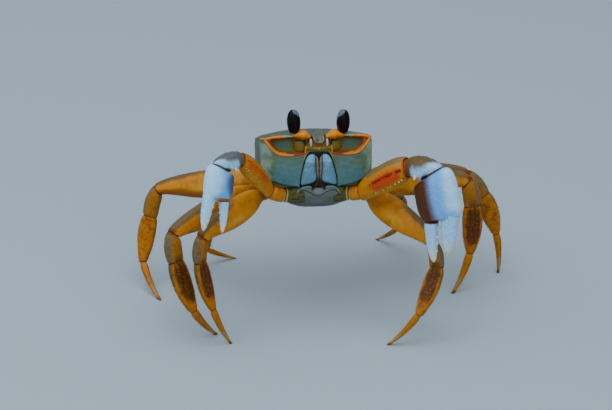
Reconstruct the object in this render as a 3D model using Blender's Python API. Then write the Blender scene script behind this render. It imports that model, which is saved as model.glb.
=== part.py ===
"""An Atlantic ghost crab, a still, life-size model that stands on its eight walking legs.

Sizes are in millimetres and angles in degrees; the meshes are in metres. The crab faces -Y, its own left is +X and
up is +Z. The body is tipped nose up on its legs, so its pieces are drawn in a level frame of their own and hang
from the empty "body_frame". The limbs are chains of joints: each piece is lofted from joint to joint, and two
neighbours are parted on one plane, with GAP between them.
"""

import math
from dataclasses import dataclass

import bmesh
import bpy
from mathutils import Matrix, Vector
from mathutils.bvhtree import BVHTree

MM = 0.001
GAP = 0.3

CARAPACE_WIDTH = 40.3
HALF = CARAPACE_WIDTH / 2
BODY_CENTRE = Vector((-0.9, 0.0, 55.7))
NOSE_UP = 19.0
BODY_TURN = 4.0
RIGHT_SIDE_UP = 2.8

# The carapace and the thorax part on a plane that rises toward the tail.
SPLIT_FRONT = (-15.0, -10.4)
SPLIT_RISE = 0.12
# How far the thorax stands over that plane before it is trimmed.
TRIM_SPARE = 0.5

ORBIT_DEPTH = 4.2
ORBIT_RIM = 0.55
EYE_FEET = {"right": Vector((-8.35, -16.7, 8.4)), "left": Vector((8.6, -16.7, 8.1))}
EYE_LENGTH = 7.9
EYE_RADIUS = 2.35
EYE_LEAN = 2.5
STALK_ROOT = Vector((2.6, -16.3, 6.6))

# Where each limb leaves the thorax, on the crab's left, in the body's frame. Limb 0 is the claw's.
HIPS = {
    0: Vector((11.6, -12.6, -13.4)),
    1: Vector((15.5, -6.0, -12.5)),
    2: Vector((16.5, 0.0, -12.0)),
    3: Vector((16.0, 6.0, -11.0)),
    4: Vector((13.5, 11.5, -9.5)),
}
COXA_LENGTH = 7.0
CLAW_COXA = 5.6
SIDES = {"right": -1, "left": 1}


@dataclass(frozen=True)
class Leg:
    """A walking leg's lengths, and the depth of its merus and of its propodus in the leg's own plane."""

    merus: float
    carpus: float
    propodus: float
    dactyl: float
    merus_depth: float
    shin_depth: float


LEGS = {
    1: Leg(33.7, 8.8, 17.8, 15.5, 9.8, 6.0),
    2: Leg(39.9, 9.7, 18.4, 15.8, 10.4, 7.1),
    3: Leg(41.8, 10.5, 16.8, 16.1, 10.0, 6.6),
    4: Leg(28.8, 7.9, 13.4, 12.8, 7.6, 4.8),
}

# Each leg's pose: degrees ahead of straight out, and up, for its merus, carpus and propodus, then the way that its
# dactyl points, whose slope follows from the floor.
STANCE = {
    ("right", 1): ((40, -11), (60, -80), (149, -75), -178),
    ("right", 2): ((32, -9), (104, -75), (137, -66), -148),
    ("right", 3): ((-26, -14), (24, -71), (65, -63), 112),
    ("right", 4): ((-33, -35), (-45, -74), (-102, -81), -161),
    ("left", 1): ((39, -23), (79, -56), (129, -47), -176),
    ("left", 2): ((-3, -3), (14, -78), (107, -84), 146),
    ("left", 3): ((-5, -3), (1, -54), (1, -71), 15),
    ("left", 4): ((-24, -33), (-70, -61), (-99, -61), -127),
}


@dataclass(frozen=True)
class Claw:
    """A cheliped's lengths and widths, its pose as for a leg, and where its finger tips lie from the knuckle."""

    ischium: float
    merus: float
    carpus: float
    palm: float
    fingers: float
    arm_depth: float
    wrist_depth: float
    palm_width: float
    palm_thickness: float
    poses: tuple
    fixed_reach: float
    fixed_tip: float
    moving_tip: float


CLAWS = {
    "right": Claw(
        5.7, 21.1, 8.5, 10.7, 11.2, 6.0, 6.2, 11.0, 6.2, ((18, 21), (36, 52), (32, -2), (71, -63)), 11.2, 4.2, -3.4
    ),
    "left": Claw(
        4.5, 21.3, 9.8, 16.3, 14.8, 9.0, 7.8, 16.4, 8.4, ((26, 9), (28, 37), (39, 4), (66, -68)), 12.4, -0.4, -6.2
    ),
}

# Profiles along a piece: the fraction of its length, then dorsal, ventral and side half sizes as fractions of its
# depth.
COXA = ((0.0, 0.60, 0.60, 0.55), (0.45, 0.62, 0.60, 0.58), (0.8, 0.54, 0.50, 0.50), (1.0, 0.44, 0.42, 0.40))
MERUS = (
    (0.0, 0.22, 0.20, 0.18),
    (0.07, 0.27, 0.23, 0.21),
    (0.14, 0.25, 0.21, 0.20),
    (0.25, 0.40, 0.40, 0.24),
    (0.42, 0.48, 0.52, 0.25),
    (0.62, 0.45, 0.48, 0.25),
    (0.82, 0.37, 0.33, 0.24),
    (0.94, 0.27, 0.23, 0.21),
    (1.0, 0.18, 0.20, 0.19),
)
CARPUS = (
    (0.0, 0.27, 0.34, 0.28),
    (0.2, 0.41, 0.38, 0.33),
    (0.5, 0.48, 0.40, 0.34),
    (0.8, 0.46, 0.41, 0.31),
    (1.0, 0.42, 0.40, 0.28),
)
PROPODUS = (
    (0.0, 0.42, 0.40, 0.27),
    (0.12, 0.48, 0.46, 0.29),
    (0.38, 0.51, 0.49, 0.29),
    (0.65, 0.44, 0.43, 0.27),
    (0.86, 0.31, 0.29, 0.23),
    (1.0, 0.22, 0.20, 0.18),
)
DACTYL = (
    (0.0, 0.19, 0.18, 0.16),
    (0.08, 0.21, 0.19, 0.17),
    (0.35, 0.18, 0.16, 0.14),
    (0.7, 0.12, 0.11, 0.11),
    (0.93, 0.085, 0.08, 0.08),
    (1.0, 0.075, 0.075, 0.075),
)
ISCHIUM = ((0.0, 0.44, 0.44, 0.42), (0.3, 0.50, 0.48, 0.46), (0.75, 0.48, 0.44, 0.44))
ARM = (
    (0.06, 0.38, 0.34, 0.36),
    (0.3, 0.46, 0.48, 0.44),
    (0.6, 0.54, 0.56, 0.48),
    (0.88, 0.52, 0.50, 0.44),
    (1.0, 0.42, 0.38, 0.36),
)
WRIST = (
    (0.0, 0.36, 0.34, 0.34),
    (0.18, 0.50, 0.42, 0.44),
    (0.5, 0.58, 0.44, 0.50),
    (0.82, 0.54, 0.42, 0.46),
    (1.0, 0.40, 0.34, 0.36),
)
PALM = (
    (0.0, 0.24, 0.30, 0.42),
    (0.07, 0.36, 0.42, 0.72),
    (0.22, 0.46, 0.50, 0.92),
    (0.5, 0.50, 0.50, 1.0),
    (0.78, 0.50, 0.49, 0.94),
    (0.93, 0.47, 0.45, 0.84),
    (1.0, 0.44, 0.41, 0.76),
)

PALE = (0.62, 0.72, 0.82)
COLOURS = {
    "carapace": (0.30, 0.36, 0.33),
    "thorax": (0.34, 0.39, 0.42),
    "abdomen": (0.40, 0.44, 0.46),
    "maxilliped": (0.30, 0.48, 0.60),
    "stalk": (0.80, 0.42, 0.03),
    "eye": (0.012, 0.008, 0.010),
    "antennule": (0.75, 0.74, 0.66),
    "claw_arm": (0.72, 0.27, 0.02),
    "claw_wrist": (0.40, 0.40, 0.44),
    "claw_palm": PALE,
    "claw_finger": PALE,
    "merus": (0.58, 0.27, 0.02),
    "carpus": (0.36, 0.24, 0.10),
    "propodus": (0.34, 0.13, 0.03),
    "dactyl": (0.52, 0.20, 0.03),
}
GLOSS = {"eye": 0.12, "carapace": 0.38, "claw_palm": 0.35, "claw_finger": 0.35}


def direction(side, forward, up):
    """The unit vector `forward` degrees ahead of straight out on that side, and `up` degrees above level."""
    ahead = math.radians(forward)
    rise = math.radians(up)
    return Vector((side * math.cos(rise) * math.cos(ahead), -math.cos(rise) * math.sin(ahead), math.sin(rise)))


def body_matrix():
    """The body's frame in the world, in millimetres."""
    turn = Matrix.Rotation(math.radians(BODY_TURN), 4, "Z")
    nose = Matrix.Rotation(math.radians(-NOSE_UP), 4, "X")
    roll = Matrix.Rotation(math.radians(RIGHT_SIDE_UP), 4, "Y")
    return Matrix.Translation(BODY_CENTRE) @ turn @ nose @ roll


def mirrored(point, side):
    return Vector((point.x * side, point.y, point.z))


def power(value, exponent):
    return math.copysign(abs(value) ** exponent, value)


def oval(centre, normal, side_axis, dorsal, ventral, half_side, sides, squareness=2.4):
    """A ring of points round `centre`, square to `normal`, with its flanks along `side_axis`."""
    across = (side_axis - normal * side_axis.dot(normal)).normalized()
    up = normal.cross(across)
    ring = []
    for step in range(sides):
        angle = 2 * math.pi * step / sides
        out = power(math.cos(angle), 2 / squareness) * half_side
        rise = power(math.sin(angle), 2 / squareness)
        rise *= dorsal if rise > 0 else ventral
        ring.append(centre + across * out + up * rise)
    return ring


def limb_rings(
    start, end, start_normal, end_normal, side_axis, profile, depth, bow=0.0, sides=12, side_size=None, margin=0.0
):
    """The rings of one limb piece. It leaves each joint on that joint's plane, half a GAP short of it."""
    first = start + start_normal * GAP / 2
    last = end - end_normal * GAP / 2
    axis = (last - first).normalized()
    length = (last - first).length
    dorsal_way = axis.cross(side_axis).normalized()
    blend = 0.3
    rings = []
    for along, dorsal, ventral, half_side in profile:
        centre = first.lerp(last, along) + dorsal_way * 4 * bow * length * along * (1 - along)
        tangent = (axis + dorsal_way * 4 * bow * (1 - 2 * along)).normalized()
        near_start = max(0.0, 1 - along / blend)
        near_end = max(0.0, 1 - (1 - along) / blend)
        normal = start_normal * near_start + end_normal * near_end + tangent * (1 - near_start - near_end)
        normal.normalize()
        stretch = depth / max(0.75, normal.dot(tangent))
        half = half_side * (side_size or depth) + margin
        rings.append(
            oval(centre, normal, side_axis, dorsal * stretch + margin, ventral * stretch + margin, half, sides)
        )
    return rings


def lofted(rings):
    """Points and faces of a closed body through equal rings, with a flat face on each end."""
    count = len(rings[0])
    points = [point for ring in rings for point in ring]
    faces = [tuple(range(count))]
    for level in range(len(rings) - 1):
        for step in range(count):
            here = level * count + step
            after = level * count + (step + 1) % count
            faces.append((here, after, after + count, here + count))
    faces.append(tuple(range(len(points) - count, len(points))))
    return points, faces


def mesh_object(name, points, faces, origin=Vector((0, 0, 0))):
    """An object with this closed mesh, its faces turned outward, placed at `origin`."""
    form = bmesh.new()
    verts = [form.verts.new((point - origin) * MM) for point in points]
    for face in faces:
        form.faces.new([verts[index] for index in face])
    bmesh.ops.recalc_face_normals(form, faces=form.faces)
    mesh = bpy.data.meshes.new(name)
    form.to_mesh(mesh)
    form.free()
    made = bpy.data.objects.new(name, mesh)
    made.location = origin * MM
    bpy.context.scene.collection.objects.link(made)
    return made


def keep_largest(mesh):
    """Leaves only the mesh's largest closed surface."""
    form = bmesh.new()
    form.from_mesh(mesh)
    left = set(form.verts)
    surfaces = []
    while left:
        surface = set()
        edge_of = [left.pop()]
        while edge_of:
            vert = edge_of.pop()
            surface.add(vert)
            for edge in vert.link_edges:
                other = edge.other_vert(vert)
                if other in left:
                    left.remove(other)
                    edge_of.append(other)
        surfaces.append(surface)
    surfaces.sort(key=len)
    scraps = [vert for surface in surfaces[:-1] for vert in surface]
    bmesh.ops.delete(form, geom=scraps, context="VERTS")
    form.to_mesh(mesh)
    form.free()


def combine(base, pieces, operation):
    """Joins the pieces to the base, or cuts them from it, by one applied Boolean, and removes the pieces."""
    group = bpy.data.collections.new("combined")
    bpy.context.scene.collection.children.link(group)
    for piece in pieces:
        group.objects.link(piece)
    boolean = base.modifiers.new(operation.lower(), "BOOLEAN")
    boolean.operation = operation
    boolean.solver = "EXACT"
    boolean.operand_type = "COLLECTION"
    boolean.collection = group
    bpy.context.view_layer.update()
    evaluated = base.evaluated_get(bpy.context.evaluated_depsgraph_get())
    mesh = bpy.data.meshes.new_from_object(evaluated)
    base.modifiers.clear()
    base.data = mesh
    keep_largest(mesh)
    for piece in pieces:
        bpy.data.objects.remove(piece)
    bpy.data.collections.remove(group)


def material(name):
    found = bpy.data.materials.get(name)
    if found:
        return found
    made = bpy.data.materials.new(name)
    made.use_nodes = True
    shader = made.node_tree.nodes["Principled BSDF"]
    shader.inputs["Base Color"].default_value = (*COLOURS[name], 1)
    shader.inputs["Roughness"].default_value = GLOSS.get(name, 0.5)
    shader.inputs["Metallic"].default_value = 0.0
    return made


def finish(made, name, look, parent):
    """Names the object, gives it its material and parent, and shades it smooth."""
    made.name = name
    made.data.name = name
    made.data.materials.clear()
    made.data.materials.append(material(look))
    made.data.shade_smooth()
    made.data.set_sharp_from_angle(angle=math.radians(40))
    made.parent = parent
    return made


def split_height(y):
    """How high the plane between carapace and thorax lies."""
    return SPLIT_FRONT[1] + SPLIT_RISE * (y - SPLIT_FRONT[0])


def shell_section(half, top, arch, bottom):
    """Half of the shell's section, from the middle of its back down to the middle of its belly, as (x, z) pairs."""
    shoulder = top - arch
    belt = shoulder - 5.0
    section = [(half * 0.93 * step / 6, top - arch * (step / 6) ** 2.4) for step in range(7)]
    section += [(half * 0.985, shoulder - 0.9), (half, shoulder - 2.4)]
    for step in range(7):
        angle = math.pi / 2 * step / 6
        section.append((half * math.cos(angle) ** 0.5, belt - (belt - bottom) * math.sin(angle) ** 0.5))
    return section


def carapace_shell():
    """The boxy shell from the flat face to the narrow tail, cut off level at the split."""
    stations = (
        (-17.3, 0.46, 2.6, 0.5, -8.5),
        (-17.0, 0.68, 5.2, 0.6, -11.5),
        (-16.2, 0.83, 7.0, 0.7, -13.0),
        (-15.0, 0.92, 7.6, 0.9, -14.0),
        (-13.0, 0.965, 7.9, 1.2, -14.5),
        (-9.0, 1.00, 8.1, 1.6, -14.5),
        (-3.0, 0.995, 8.1, 2.0, -14.0),
        (2.0, 0.965, 7.9, 2.3, -13.5),
        (7.0, 0.885, 7.1, 2.5, -13.0),
        (11.0, 0.76, 6.0, 2.4, -12.0),
        (14.0, 0.61, 4.3, 2.0, -11.0),
        (16.0, 0.46, 2.2, 1.4, -10.0),
        (17.0, 0.34, 0.4, 0.9, -9.5),
    )
    rings = []
    for y, width, top, arch, bottom in stations:
        half = shell_section(width * HALF, top, arch, bottom)
        ring = [Vector((x, y, z)) for x, z in half]
        ring += [Vector((-x, y, z)) for x, z in half[-2:0:-1]]
        rings.append(ring)
    shell = mesh_object("shell", *lofted(rings))
    trim(shell.data, split_height(0), SPLIT_RISE, 1)
    return shell


def trim(mesh, height, rise, keep):
    """Keeps the side of the mesh over (keep 1) or under (keep -1) a plane that rises toward the tail, closed again."""
    form = bmesh.new()
    form.from_mesh(mesh)
    cut = bmesh.ops.bisect_plane(
        form,
        geom=form.verts[:] + form.edges[:] + form.faces[:],
        plane_co=(0, 0, height * MM),
        plane_no=Vector((0, rise, -1)).normalized() * keep,
        clear_outer=True,
    )
    edges = [item for item in cut["geom_cut"] if isinstance(item, bmesh.types.BMEdge)]
    bmesh.ops.holes_fill(form, edges=edges)
    bmesh.ops.recalc_face_normals(form, faces=form.faces)
    form.to_mesh(mesh)
    form.free()


# The eye hollow's edge seen from the front, on the crab's left: (x, height) along its floor, then back along its brow.
ORBIT_FLOOR = ((4.4, 1.9), (6.3, 1.2), (9.0, 0.9), (11.5, 0.9), (13.2, 1.1), (14.6, 1.7), (16.1, 3.1), (17.4, 4.7))
ORBIT_BROW = ((18.3, 6.1), (17.0, 6.9), (15.2, 7.2), (12.8, 7.3), (10.0, 7.3), (7.5, 7.1), (5.0, 6.6), (4.5, 5.4))
ORBIT_MIDDLE = (11.0, 4.0)


def orbit_outline(side, margin=0.0):
    """The eye hollow's edge on one side, grown by `margin` away from the hollow's middle."""
    middle = Vector(ORBIT_MIDDLE)
    outline = []
    for point in ORBIT_FLOOR + ORBIT_BROW:
        out = Vector(point) - middle
        grown = middle + out + out.normalized() * margin
        outline.append((side * grown.x, grown.y))
    return outline


def orbit_cutter(side):
    """A scoop in the shape of the orbit that narrows as it goes in."""
    outline = orbit_outline(side)
    middle = Vector((side * ORBIT_MIDDLE[0], ORBIT_MIDDLE[1]))
    rings = []
    for y, size in ((-22.0, 1.0), (-15.2, 1.0), (-15.2 + ORBIT_DEPTH * 0.6, 0.86), (-15.2 + ORBIT_DEPTH, 0.6)):
        inward = [middle + (Vector(point) - middle) * size for point in outline]
        rings.append([Vector((point.x, y, point.y)) for point in inward])
    return mesh_object("orbit", *lofted(rings))


def orbit_rim(shell, side):
    """A raised bead that follows the orbit's edge over the shell."""
    form = bmesh.new()
    form.from_mesh(shell.data)
    tree = BVHTree.FromBMesh(form)
    form.free()
    path = []
    for x, z in orbit_outline(side, 0.22):
        nearest = tree.find_nearest(Vector((x, -19, z)) * MM)[0]
        path.append(nearest / MM)
    rings = []
    for step, centre in enumerate(path):
        before = path[step - 1]
        after = path[(step + 1) % len(path)]
        normal = (after - before).normalized()
        rings.append(oval(centre, normal, Vector((0, 1, 0)), ORBIT_RIM, ORBIT_RIM, ORBIT_RIM, 7, 2))
    points = [point for ring in rings for point in ring]
    faces = []
    count = len(rings[0])
    for level in range(len(rings)):
        here = level * count
        following = (level + 1) % len(rings) * count
        for step in range(count):
            after = (step + 1) % count
            faces.append((here + step, here + after, following + after, following + step))
    return mesh_object("rim", points, faces)


def rostrum():
    """The narrow tongue between the eyestalks, bent down at its tip."""
    path = (
        (-11.0, 7.0, 3.2, 1.0),
        (-14.0, 7.2, 2.7, 1.0),
        (-16.2, 6.6, 2.35, 0.9),
        (-17.6, 5.4, 2.2, 0.85),
        (-18.1, 4.5, 1.7, 0.7),
    )
    rings = []
    for step, (y, z, half_width, half_height) in enumerate(path):
        before = path[max(0, step - 1)]
        after = path[min(len(path) - 1, step + 1)]
        normal = Vector((0, after[0] - before[0], after[1] - before[1])).normalized()
        rings.append(oval(Vector((0, y, z)), normal, Vector((1, 0, 0)), half_height, half_height, half_width, 12, 3))
    return mesh_object("rostrum", *lofted(rings))


def mouth_outline(margin):
    """The mouth frame, narrow at the top: (half width, height) at its four levels, grown by `margin`."""
    return ((4.0 + margin, 1.2 + margin), (5.6 + margin, -2.4), (6.7 + margin, -7.0), (6.9 + margin, -14.0))


def mouth_cutter():
    rings = []
    for y in (-24.0, -15.4):
        right = [Vector((-half, y, z)) for half, z in mouth_outline(0)]
        left = [Vector((half, y, z)) for half, z in reversed(mouth_outline(0))]
        rings.append(right + left)
    return mesh_object("mouth", *lofted(rings))


def carapace(parent):
    shell = carapace_shell()
    rims = [orbit_rim(shell, side) for side in SIDES.values()]
    combine(shell, [rostrum(), *rims], "UNION")
    cutters = [orbit_cutter(side) for side in SIDES.values()]
    cutters += [eyestalk_body(name, GAP) for name in SIDES]
    inward = body_matrix().inverted()
    for name in CLAWS:
        points, faces = lofted(arm_rings(name, GAP))
        cutters.append(mesh_object("arm_room", [inward @ point for point in points], faces))
    combine(shell, [*cutters, mouth_cutter()], "DIFFERENCE")
    finish(shell, "carapace", "carapace", parent)


def eye_axis(side):
    lean = math.radians(EYE_LEAN)
    return Vector((side * math.sin(lean), 0, math.cos(lean)))


def eyestalk_body(name, margin):
    """The stalk from beside the rostrum, out and up to the eye."""
    side = SIDES[name]
    root = mirrored(STALK_ROOT, side)
    foot = EYE_FEET[name]
    up = eye_axis(side)
    elbow = foot - up * 1.3 - Vector((side * 0.7, 0, 0))
    out = (elbow - root).normalized()
    path = (
        (root, out, 0.8),
        (root.lerp(elbow, 0.25), out, 1.3),
        (root.lerp(elbow, 0.55), out, 1.85),
        (elbow, (out + up * 0.7).normalized(), 1.6),
        (foot - up * 0.5 - Vector((side * 0.1, 0, 0)), (out * 0.3 + up).normalized(), 1.5),
        (foot + up * margin, up, 1.45),
    )
    rings = [oval(centre, normal, Vector((0, 1, 0)), r + margin, r + margin, r + margin, 12, 2) for centre, normal, r in path]
    return mesh_object("stalk", *lofted(rings))


def eyes(parent):
    """The upright oval corneas, each cut flat where it sits on its stalk."""
    for name, side in SIDES.items():
        finish(eyestalk_body(name, 0), f"eyestalk_{name}", "stalk", parent)
        up = eye_axis(side)
        foot = EYE_FEET[name] + up * GAP
        rings = []
        for level in range(10):
            angle = math.radians(34 + (172 - 34) * level / 9)
            radius = EYE_RADIUS * math.sin(angle) ** 0.9
            height = (math.cos(math.radians(34)) - math.cos(angle)) / (1 + math.cos(math.radians(34)))
            rings.append(oval(foot + up * EYE_LENGTH * height, up, Vector((0, 1, 0)), radius, radius, radius, 14, 2))
        finish(mesh_object("eye", *lofted(rings), foot), f"eye_{name}", "eye", parent)


def antennules(parent):
    """The short feelers folded down on each side of the rostrum."""
    top = Vector((3.15, -18.5, 5.0))
    bottom = Vector((2.75, -18.9, 2.7))
    for name, side in SIDES.items():
        start = mirrored(top, side)
        end = mirrored(bottom, side)
        axis = (end - start).normalized()
        rings = [
            oval(start.lerp(end, along), axis, Vector((1, 0, 0)), radius, radius, radius, 8, 2)
            for along, radius in ((0, 0.32), (0.3, 0.5), (0.75, 0.42), (1, 0.26))
        ]
        finish(mesh_object("antennule", *lofted(rings), start), f"antennule_{name}", "antennule", parent)


def maxillipeds(parent):
    """The two mouth plates that close the mouth frame like doors."""
    levels = (0.0, 0.18, 0.45, 0.75, 1.0)
    top, bottom = 0.4, -10.1
    for name, side in SIDES.items():
        rings = []
        for along in levels:
            z = top + (bottom - top) * along
            outer = 3.3 + 3.3 * math.sin(math.pi / 2 * min(1, along * 1.25)) - 0.1
            inner = 0.35
            bulge = 1.0 + 0.7 * math.sin(math.pi * (0.15 + 0.75 * along))
            middle = (inner + outer) / 2
            half = (outer - inner) / 2
            ring = []
            for step in range(12):
                angle = 2 * math.pi * step / 12
                x = middle + half * power(math.cos(angle), 2 / 3)
                forward = power(math.sin(angle), 2 / 3)
                y = -16.7 - forward * (bulge if forward > 0 else 0.95)
                ring.append(Vector((side * x, y, z)))
            rings.append(ring)
        finish(mesh_object("maxilliped", *lofted(rings)), f"maxilliped_{name}", "maxilliped", parent)


def thorax_rings():
    """Sections of the breast plate: (y, half width at the top, depth below the split, half width at the bottom)."""
    sections = (
        (-16.0, 6.4, 1.6, 3.2),
        (-14.6, 8.6, 4.4, 6.6),
        (-12.6, 10.6, 7.2, 9.4),
        (-9.0, 12.4, 8.2, 11.0),
        (-3.0, 13.6, 8.0, 11.6),
        (3.0, 13.6, 7.3, 11.0),
        (8.0, 12.2, 6.4, 9.2),
        (12.0, 9.8, 5.2, 6.8),
        (14.6, 6.8, 3.8, 4.4),
    )
    rings = []
    for y, top_half, depth, bottom_half in sections:
        top = split_height(y) - GAP
        ring = [Vector((top_half, y, top + TRIM_SPARE))]
        for step in range(1, 10):
            angle = math.pi * step / 10
            fall = math.sin(angle) ** 0.55
            half = top_half + (bottom_half - top_half) * fall ** 3
            ring.append(Vector((half * power(math.cos(angle), 0.75), y, top - depth * fall)))
        ring.append(Vector((-top_half, y, top + TRIM_SPARE)))
        rings.append(ring)
    return rings


def coxa(limb, side, merus_way, depth):
    """The first, short piece of a limb, grown out of the thorax, and its end plane, in the world."""
    hip = body_matrix() @ mirrored(HIPS[limb], side)
    way = Vector((side, merus_way.y * 0.5, 0)).normalized()
    normal = (way + merus_way).normalized()
    side_axis = merus_way.cross(Vector((0, 0, -1))).normalized()
    rings = limb_rings(hip - way * COXA_LENGTH, hip, way, normal, side_axis, COXA, depth, sides=10)
    points, faces = lofted(rings)
    inward = body_matrix().inverted()
    return mesh_object("coxa", [inward @ point for point in points], faces)


def thorax(parent):
    body = mesh_object("thorax", *lofted(thorax_rings()))
    bases = []
    for (name, limb), (merus, *_) in STANCE.items():
        depth = LEGS[limb].merus_depth * 0.48
        bases.append(coxa(limb, SIDES[name], direction(SIDES[name], *merus), depth))
    for name, claw in CLAWS.items():
        bases.append(coxa(0, SIDES[name], direction(SIDES[name], *claw.poses[0]), CLAW_COXA))
    combine(body, bases, "UNION")
    trim(body.data, split_height(0) - GAP, SPLIT_RISE, -1)
    finish(body, "thorax", "thorax", parent)


def abdomen(parent):
    """The narrow tail flap, folded forward under the breast plate."""
    path = (
        (18.1, -1.5, 5.6),
        (18.3, -4.5, 5.6),
        (17.6, -8.0, 5.3),
        (16.0, -12.0, 4.6),
        (12.6, -14.4, 3.9),
        (8.0, -15.9, 3.5),
        (4.0, -16.95, 2.8),
        (1.5, -17.4, 1.4),
    )
    rings = []
    for step, (y, z, half_width) in enumerate(path):
        before = path[max(0, step - 1)]
        after = path[min(len(path) - 1, step + 1)]
        normal = Vector((0, after[0] - before[0], after[1] - before[1])).normalized()
        rings.append(oval(Vector((0, y, z)), normal, Vector((1, 0, 0)), 0.7, 0.7, half_width, 12, 3))
    finish(mesh_object("abdomen", *lofted(rings)), "abdomen", "abdomen", parent)


def chain(start, side, poses, lengths):
    """The joints of a limb, from its start on."""
    joints = [start]
    for (forward, up), length in zip(poses, lengths):
        joints.append(joints[-1] + direction(side, forward, up) * length)
    return joints


def joint_planes(joints, first, last):
    """Each joint's plane normal: the mean direction of the two pieces that meet there."""
    ways = [(after - before).normalized() for before, after in zip(joints, joints[1:])]
    inner = [(before + after).normalized() for before, after in zip(ways, ways[1:])]
    return [first, *inner, last]


def walking_leg(name, limb, parent):
    side = SIDES[name]
    sizes = LEGS[limb]
    merus, carpus, propodus, dactyl_heading = STANCE[name, limb]
    hip = body_matrix() @ mirrored(HIPS[limb], side)
    joints = chain(hip, side, (merus, carpus, propodus), (sizes.merus, sizes.carpus, sizes.propodus))
    slope = -math.degrees(math.asin(joints[-1].z / sizes.dactyl))
    joints.append(joints[-1] + direction(side, dactyl_heading, slope) * sizes.dactyl)
    merus_way = direction(side, *merus)
    coxa_way = Vector((side, merus_way.y * 0.5, 0)).normalized()
    planes = joint_planes(joints, (coxa_way + merus_way).normalized(), Vector((0, 0, -1)))
    side_axis = (joints[1] - joints[0]).cross(joints[4] - joints[1]).normalized()
    foot = joints[4] + planes[4] * GAP / 2
    joints[4] = Vector((foot.x, foot.y, -GAP / 2))
    pieces = (
        ("merus", MERUS, sizes.merus_depth, 0.02),
        ("carpus", CARPUS, sizes.shin_depth, 0.03),
        ("propodus", PROPODUS, sizes.shin_depth, 0.025),
        ("dactyl", DACTYL, sizes.shin_depth, 0.04),
    )
    for index, (look, profile, depth, bow) in enumerate(pieces):
        rings = limb_rings(
            joints[index], joints[index + 1], planes[index], planes[index + 1], side_axis, profile, depth, bow
        )
        piece = mesh_object(look, *lofted(rings), joints[index])
        finish(piece, f"leg{limb}_{name}_{look}", look, parent)


def tooth(root, way, radius, height):
    """A blunt cone on a finger's inner edge, its root sunk in."""
    side_axis = way.orthogonal().normalized()
    rings = [
        oval(root - way * height * 0.6, way, side_axis, radius, radius, radius, 6, 2),
        oval(root + way * height, way, side_axis, radius * 0.3, radius * 0.3, radius * 0.3, 6, 2),
    ]
    return mesh_object("tooth", *lofted(rings))


def finger_body(start, end, side_axis, inward, width, curve, teeth):
    """A tapering finger that bows away from its partner, with a row of teeth on the side toward it."""
    axis = (end - start).normalized()
    length = (end - start).length
    rings = []
    roots = []
    for along, size in ((0.0, 0.50), (0.12, 0.50), (0.35, 0.43), (0.6, 0.36), (0.82, 0.25), (0.95, 0.13), (1.0, 0.06)):
        centre = start.lerp(end, along) - inward * 4 * curve * length * along * (1 - along)
        tangent = (axis - inward * 4 * curve * (1 - 2 * along)).normalized()
        normal = axis.lerp(tangent, min(1, along * 8)).normalized()
        rings.append(oval(centre, normal, side_axis, size * width, size * width, size * width * 0.9, 10, 2.3))
    body = mesh_object("finger", *lofted(rings), start)
    for step in range(teeth):
        along = 0.3 + 0.5 * step / max(1, teeth - 1)
        centre = start.lerp(end, along) - inward * 4 * curve * length * along * (1 - along)
        reach = width * (0.50 - 0.30 * along ** 1.5)
        roots.append(tooth(centre + inward * reach * 0.8, inward, width * 0.11, width * (0.2 - 0.07 * (step % 2))))
    combine(body, roots, "UNION")
    return body


def claw_joints(name):
    """The joints of a claw's limb from shoulder to knuckle, and the plane of each."""
    side = SIDES[name]
    sizes = CLAWS[name]
    shoulder = body_matrix() @ mirrored(HIPS[0], side)
    joints = chain(shoulder, side, sizes.poses, (sizes.ischium, sizes.merus, sizes.carpus, sizes.palm))
    first_way = direction(side, *sizes.poses[0])
    coxa_way = Vector((side, first_way.y * 0.5, 0)).normalized()
    return joints, joint_planes(joints, (coxa_way + first_way).normalized(), direction(side, *sizes.poses[3]))


def arm_rings(name, margin):
    """The claw's ischium and merus in one, grown by `margin`."""
    side = SIDES[name]
    sizes = CLAWS[name]
    joints, planes = claw_joints(name)
    face = direction(side, *sizes.poses[1]).cross(direction(side, *sizes.poses[2])).normalized()
    elbow = joints[1] + planes[1] * GAP / 2
    depth = sizes.arm_depth
    ischium = limb_rings(joints[0], elbow, planes[0], planes[1], face, ISCHIUM, CLAW_COXA, margin=margin)
    merus = limb_rings(joints[1], joints[2], planes[1], planes[2], face, ARM, depth, 0.03, margin=margin)
    return ischium + merus


def claw(name, parent):
    """A claw-bearing limb: arm, wrist, palm with its fixed finger, and the moving finger."""
    side = SIDES[name]
    sizes = CLAWS[name]
    joints, planes = claw_joints(name)
    palm_way = direction(side, *sizes.poses[3])
    face = direction(side, *sizes.poses[2]).cross(palm_way).normalized()
    arm = mesh_object("arm", *lofted(arm_rings(name, 0)), joints[0])
    finish(arm, f"claw_{name}_arm", "claw_arm", parent)

    wrist = limb_rings(joints[2], joints[3], planes[2], planes[3], face, WRIST, sizes.wrist_depth, 0.04)
    finish(mesh_object("wrist", *lofted(wrist), joints[2]), f"claw_{name}_wrist", "claw_wrist", parent)

    rings = limb_rings(
        joints[3], joints[4], planes[3], palm_way, face, PALM, sizes.palm_width, 0.0, 16, sizes.palm_thickness / 2
    )
    palm = mesh_object("palm", *lofted(rings), joints[3])
    outward = palm_way.cross(face).normalized()
    knuckle = joints[4]
    width = sizes.palm_width
    fixed_root = knuckle - palm_way * width * 0.22 + outward * width * 0.25
    fixed_tip = knuckle + palm_way * sizes.fixed_reach + outward * sizes.fixed_tip
    fixed = finger_body(fixed_root, fixed_tip, face, -outward, width * 0.42, 0.03, 5)
    combine(palm, [fixed], "UNION")
    finish(palm, f"claw_{name}_palm", "claw_palm", parent)

    moving_root = knuckle + palm_way * GAP - outward * width * 0.25
    moving_tip = knuckle + palm_way * sizes.fingers + outward * sizes.moving_tip
    moving = finger_body(moving_root, moving_tip, face, outward, width * 0.30, 0.02, 5)
    finish(moving, f"claw_{name}_finger", "claw_finger", parent)


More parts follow.
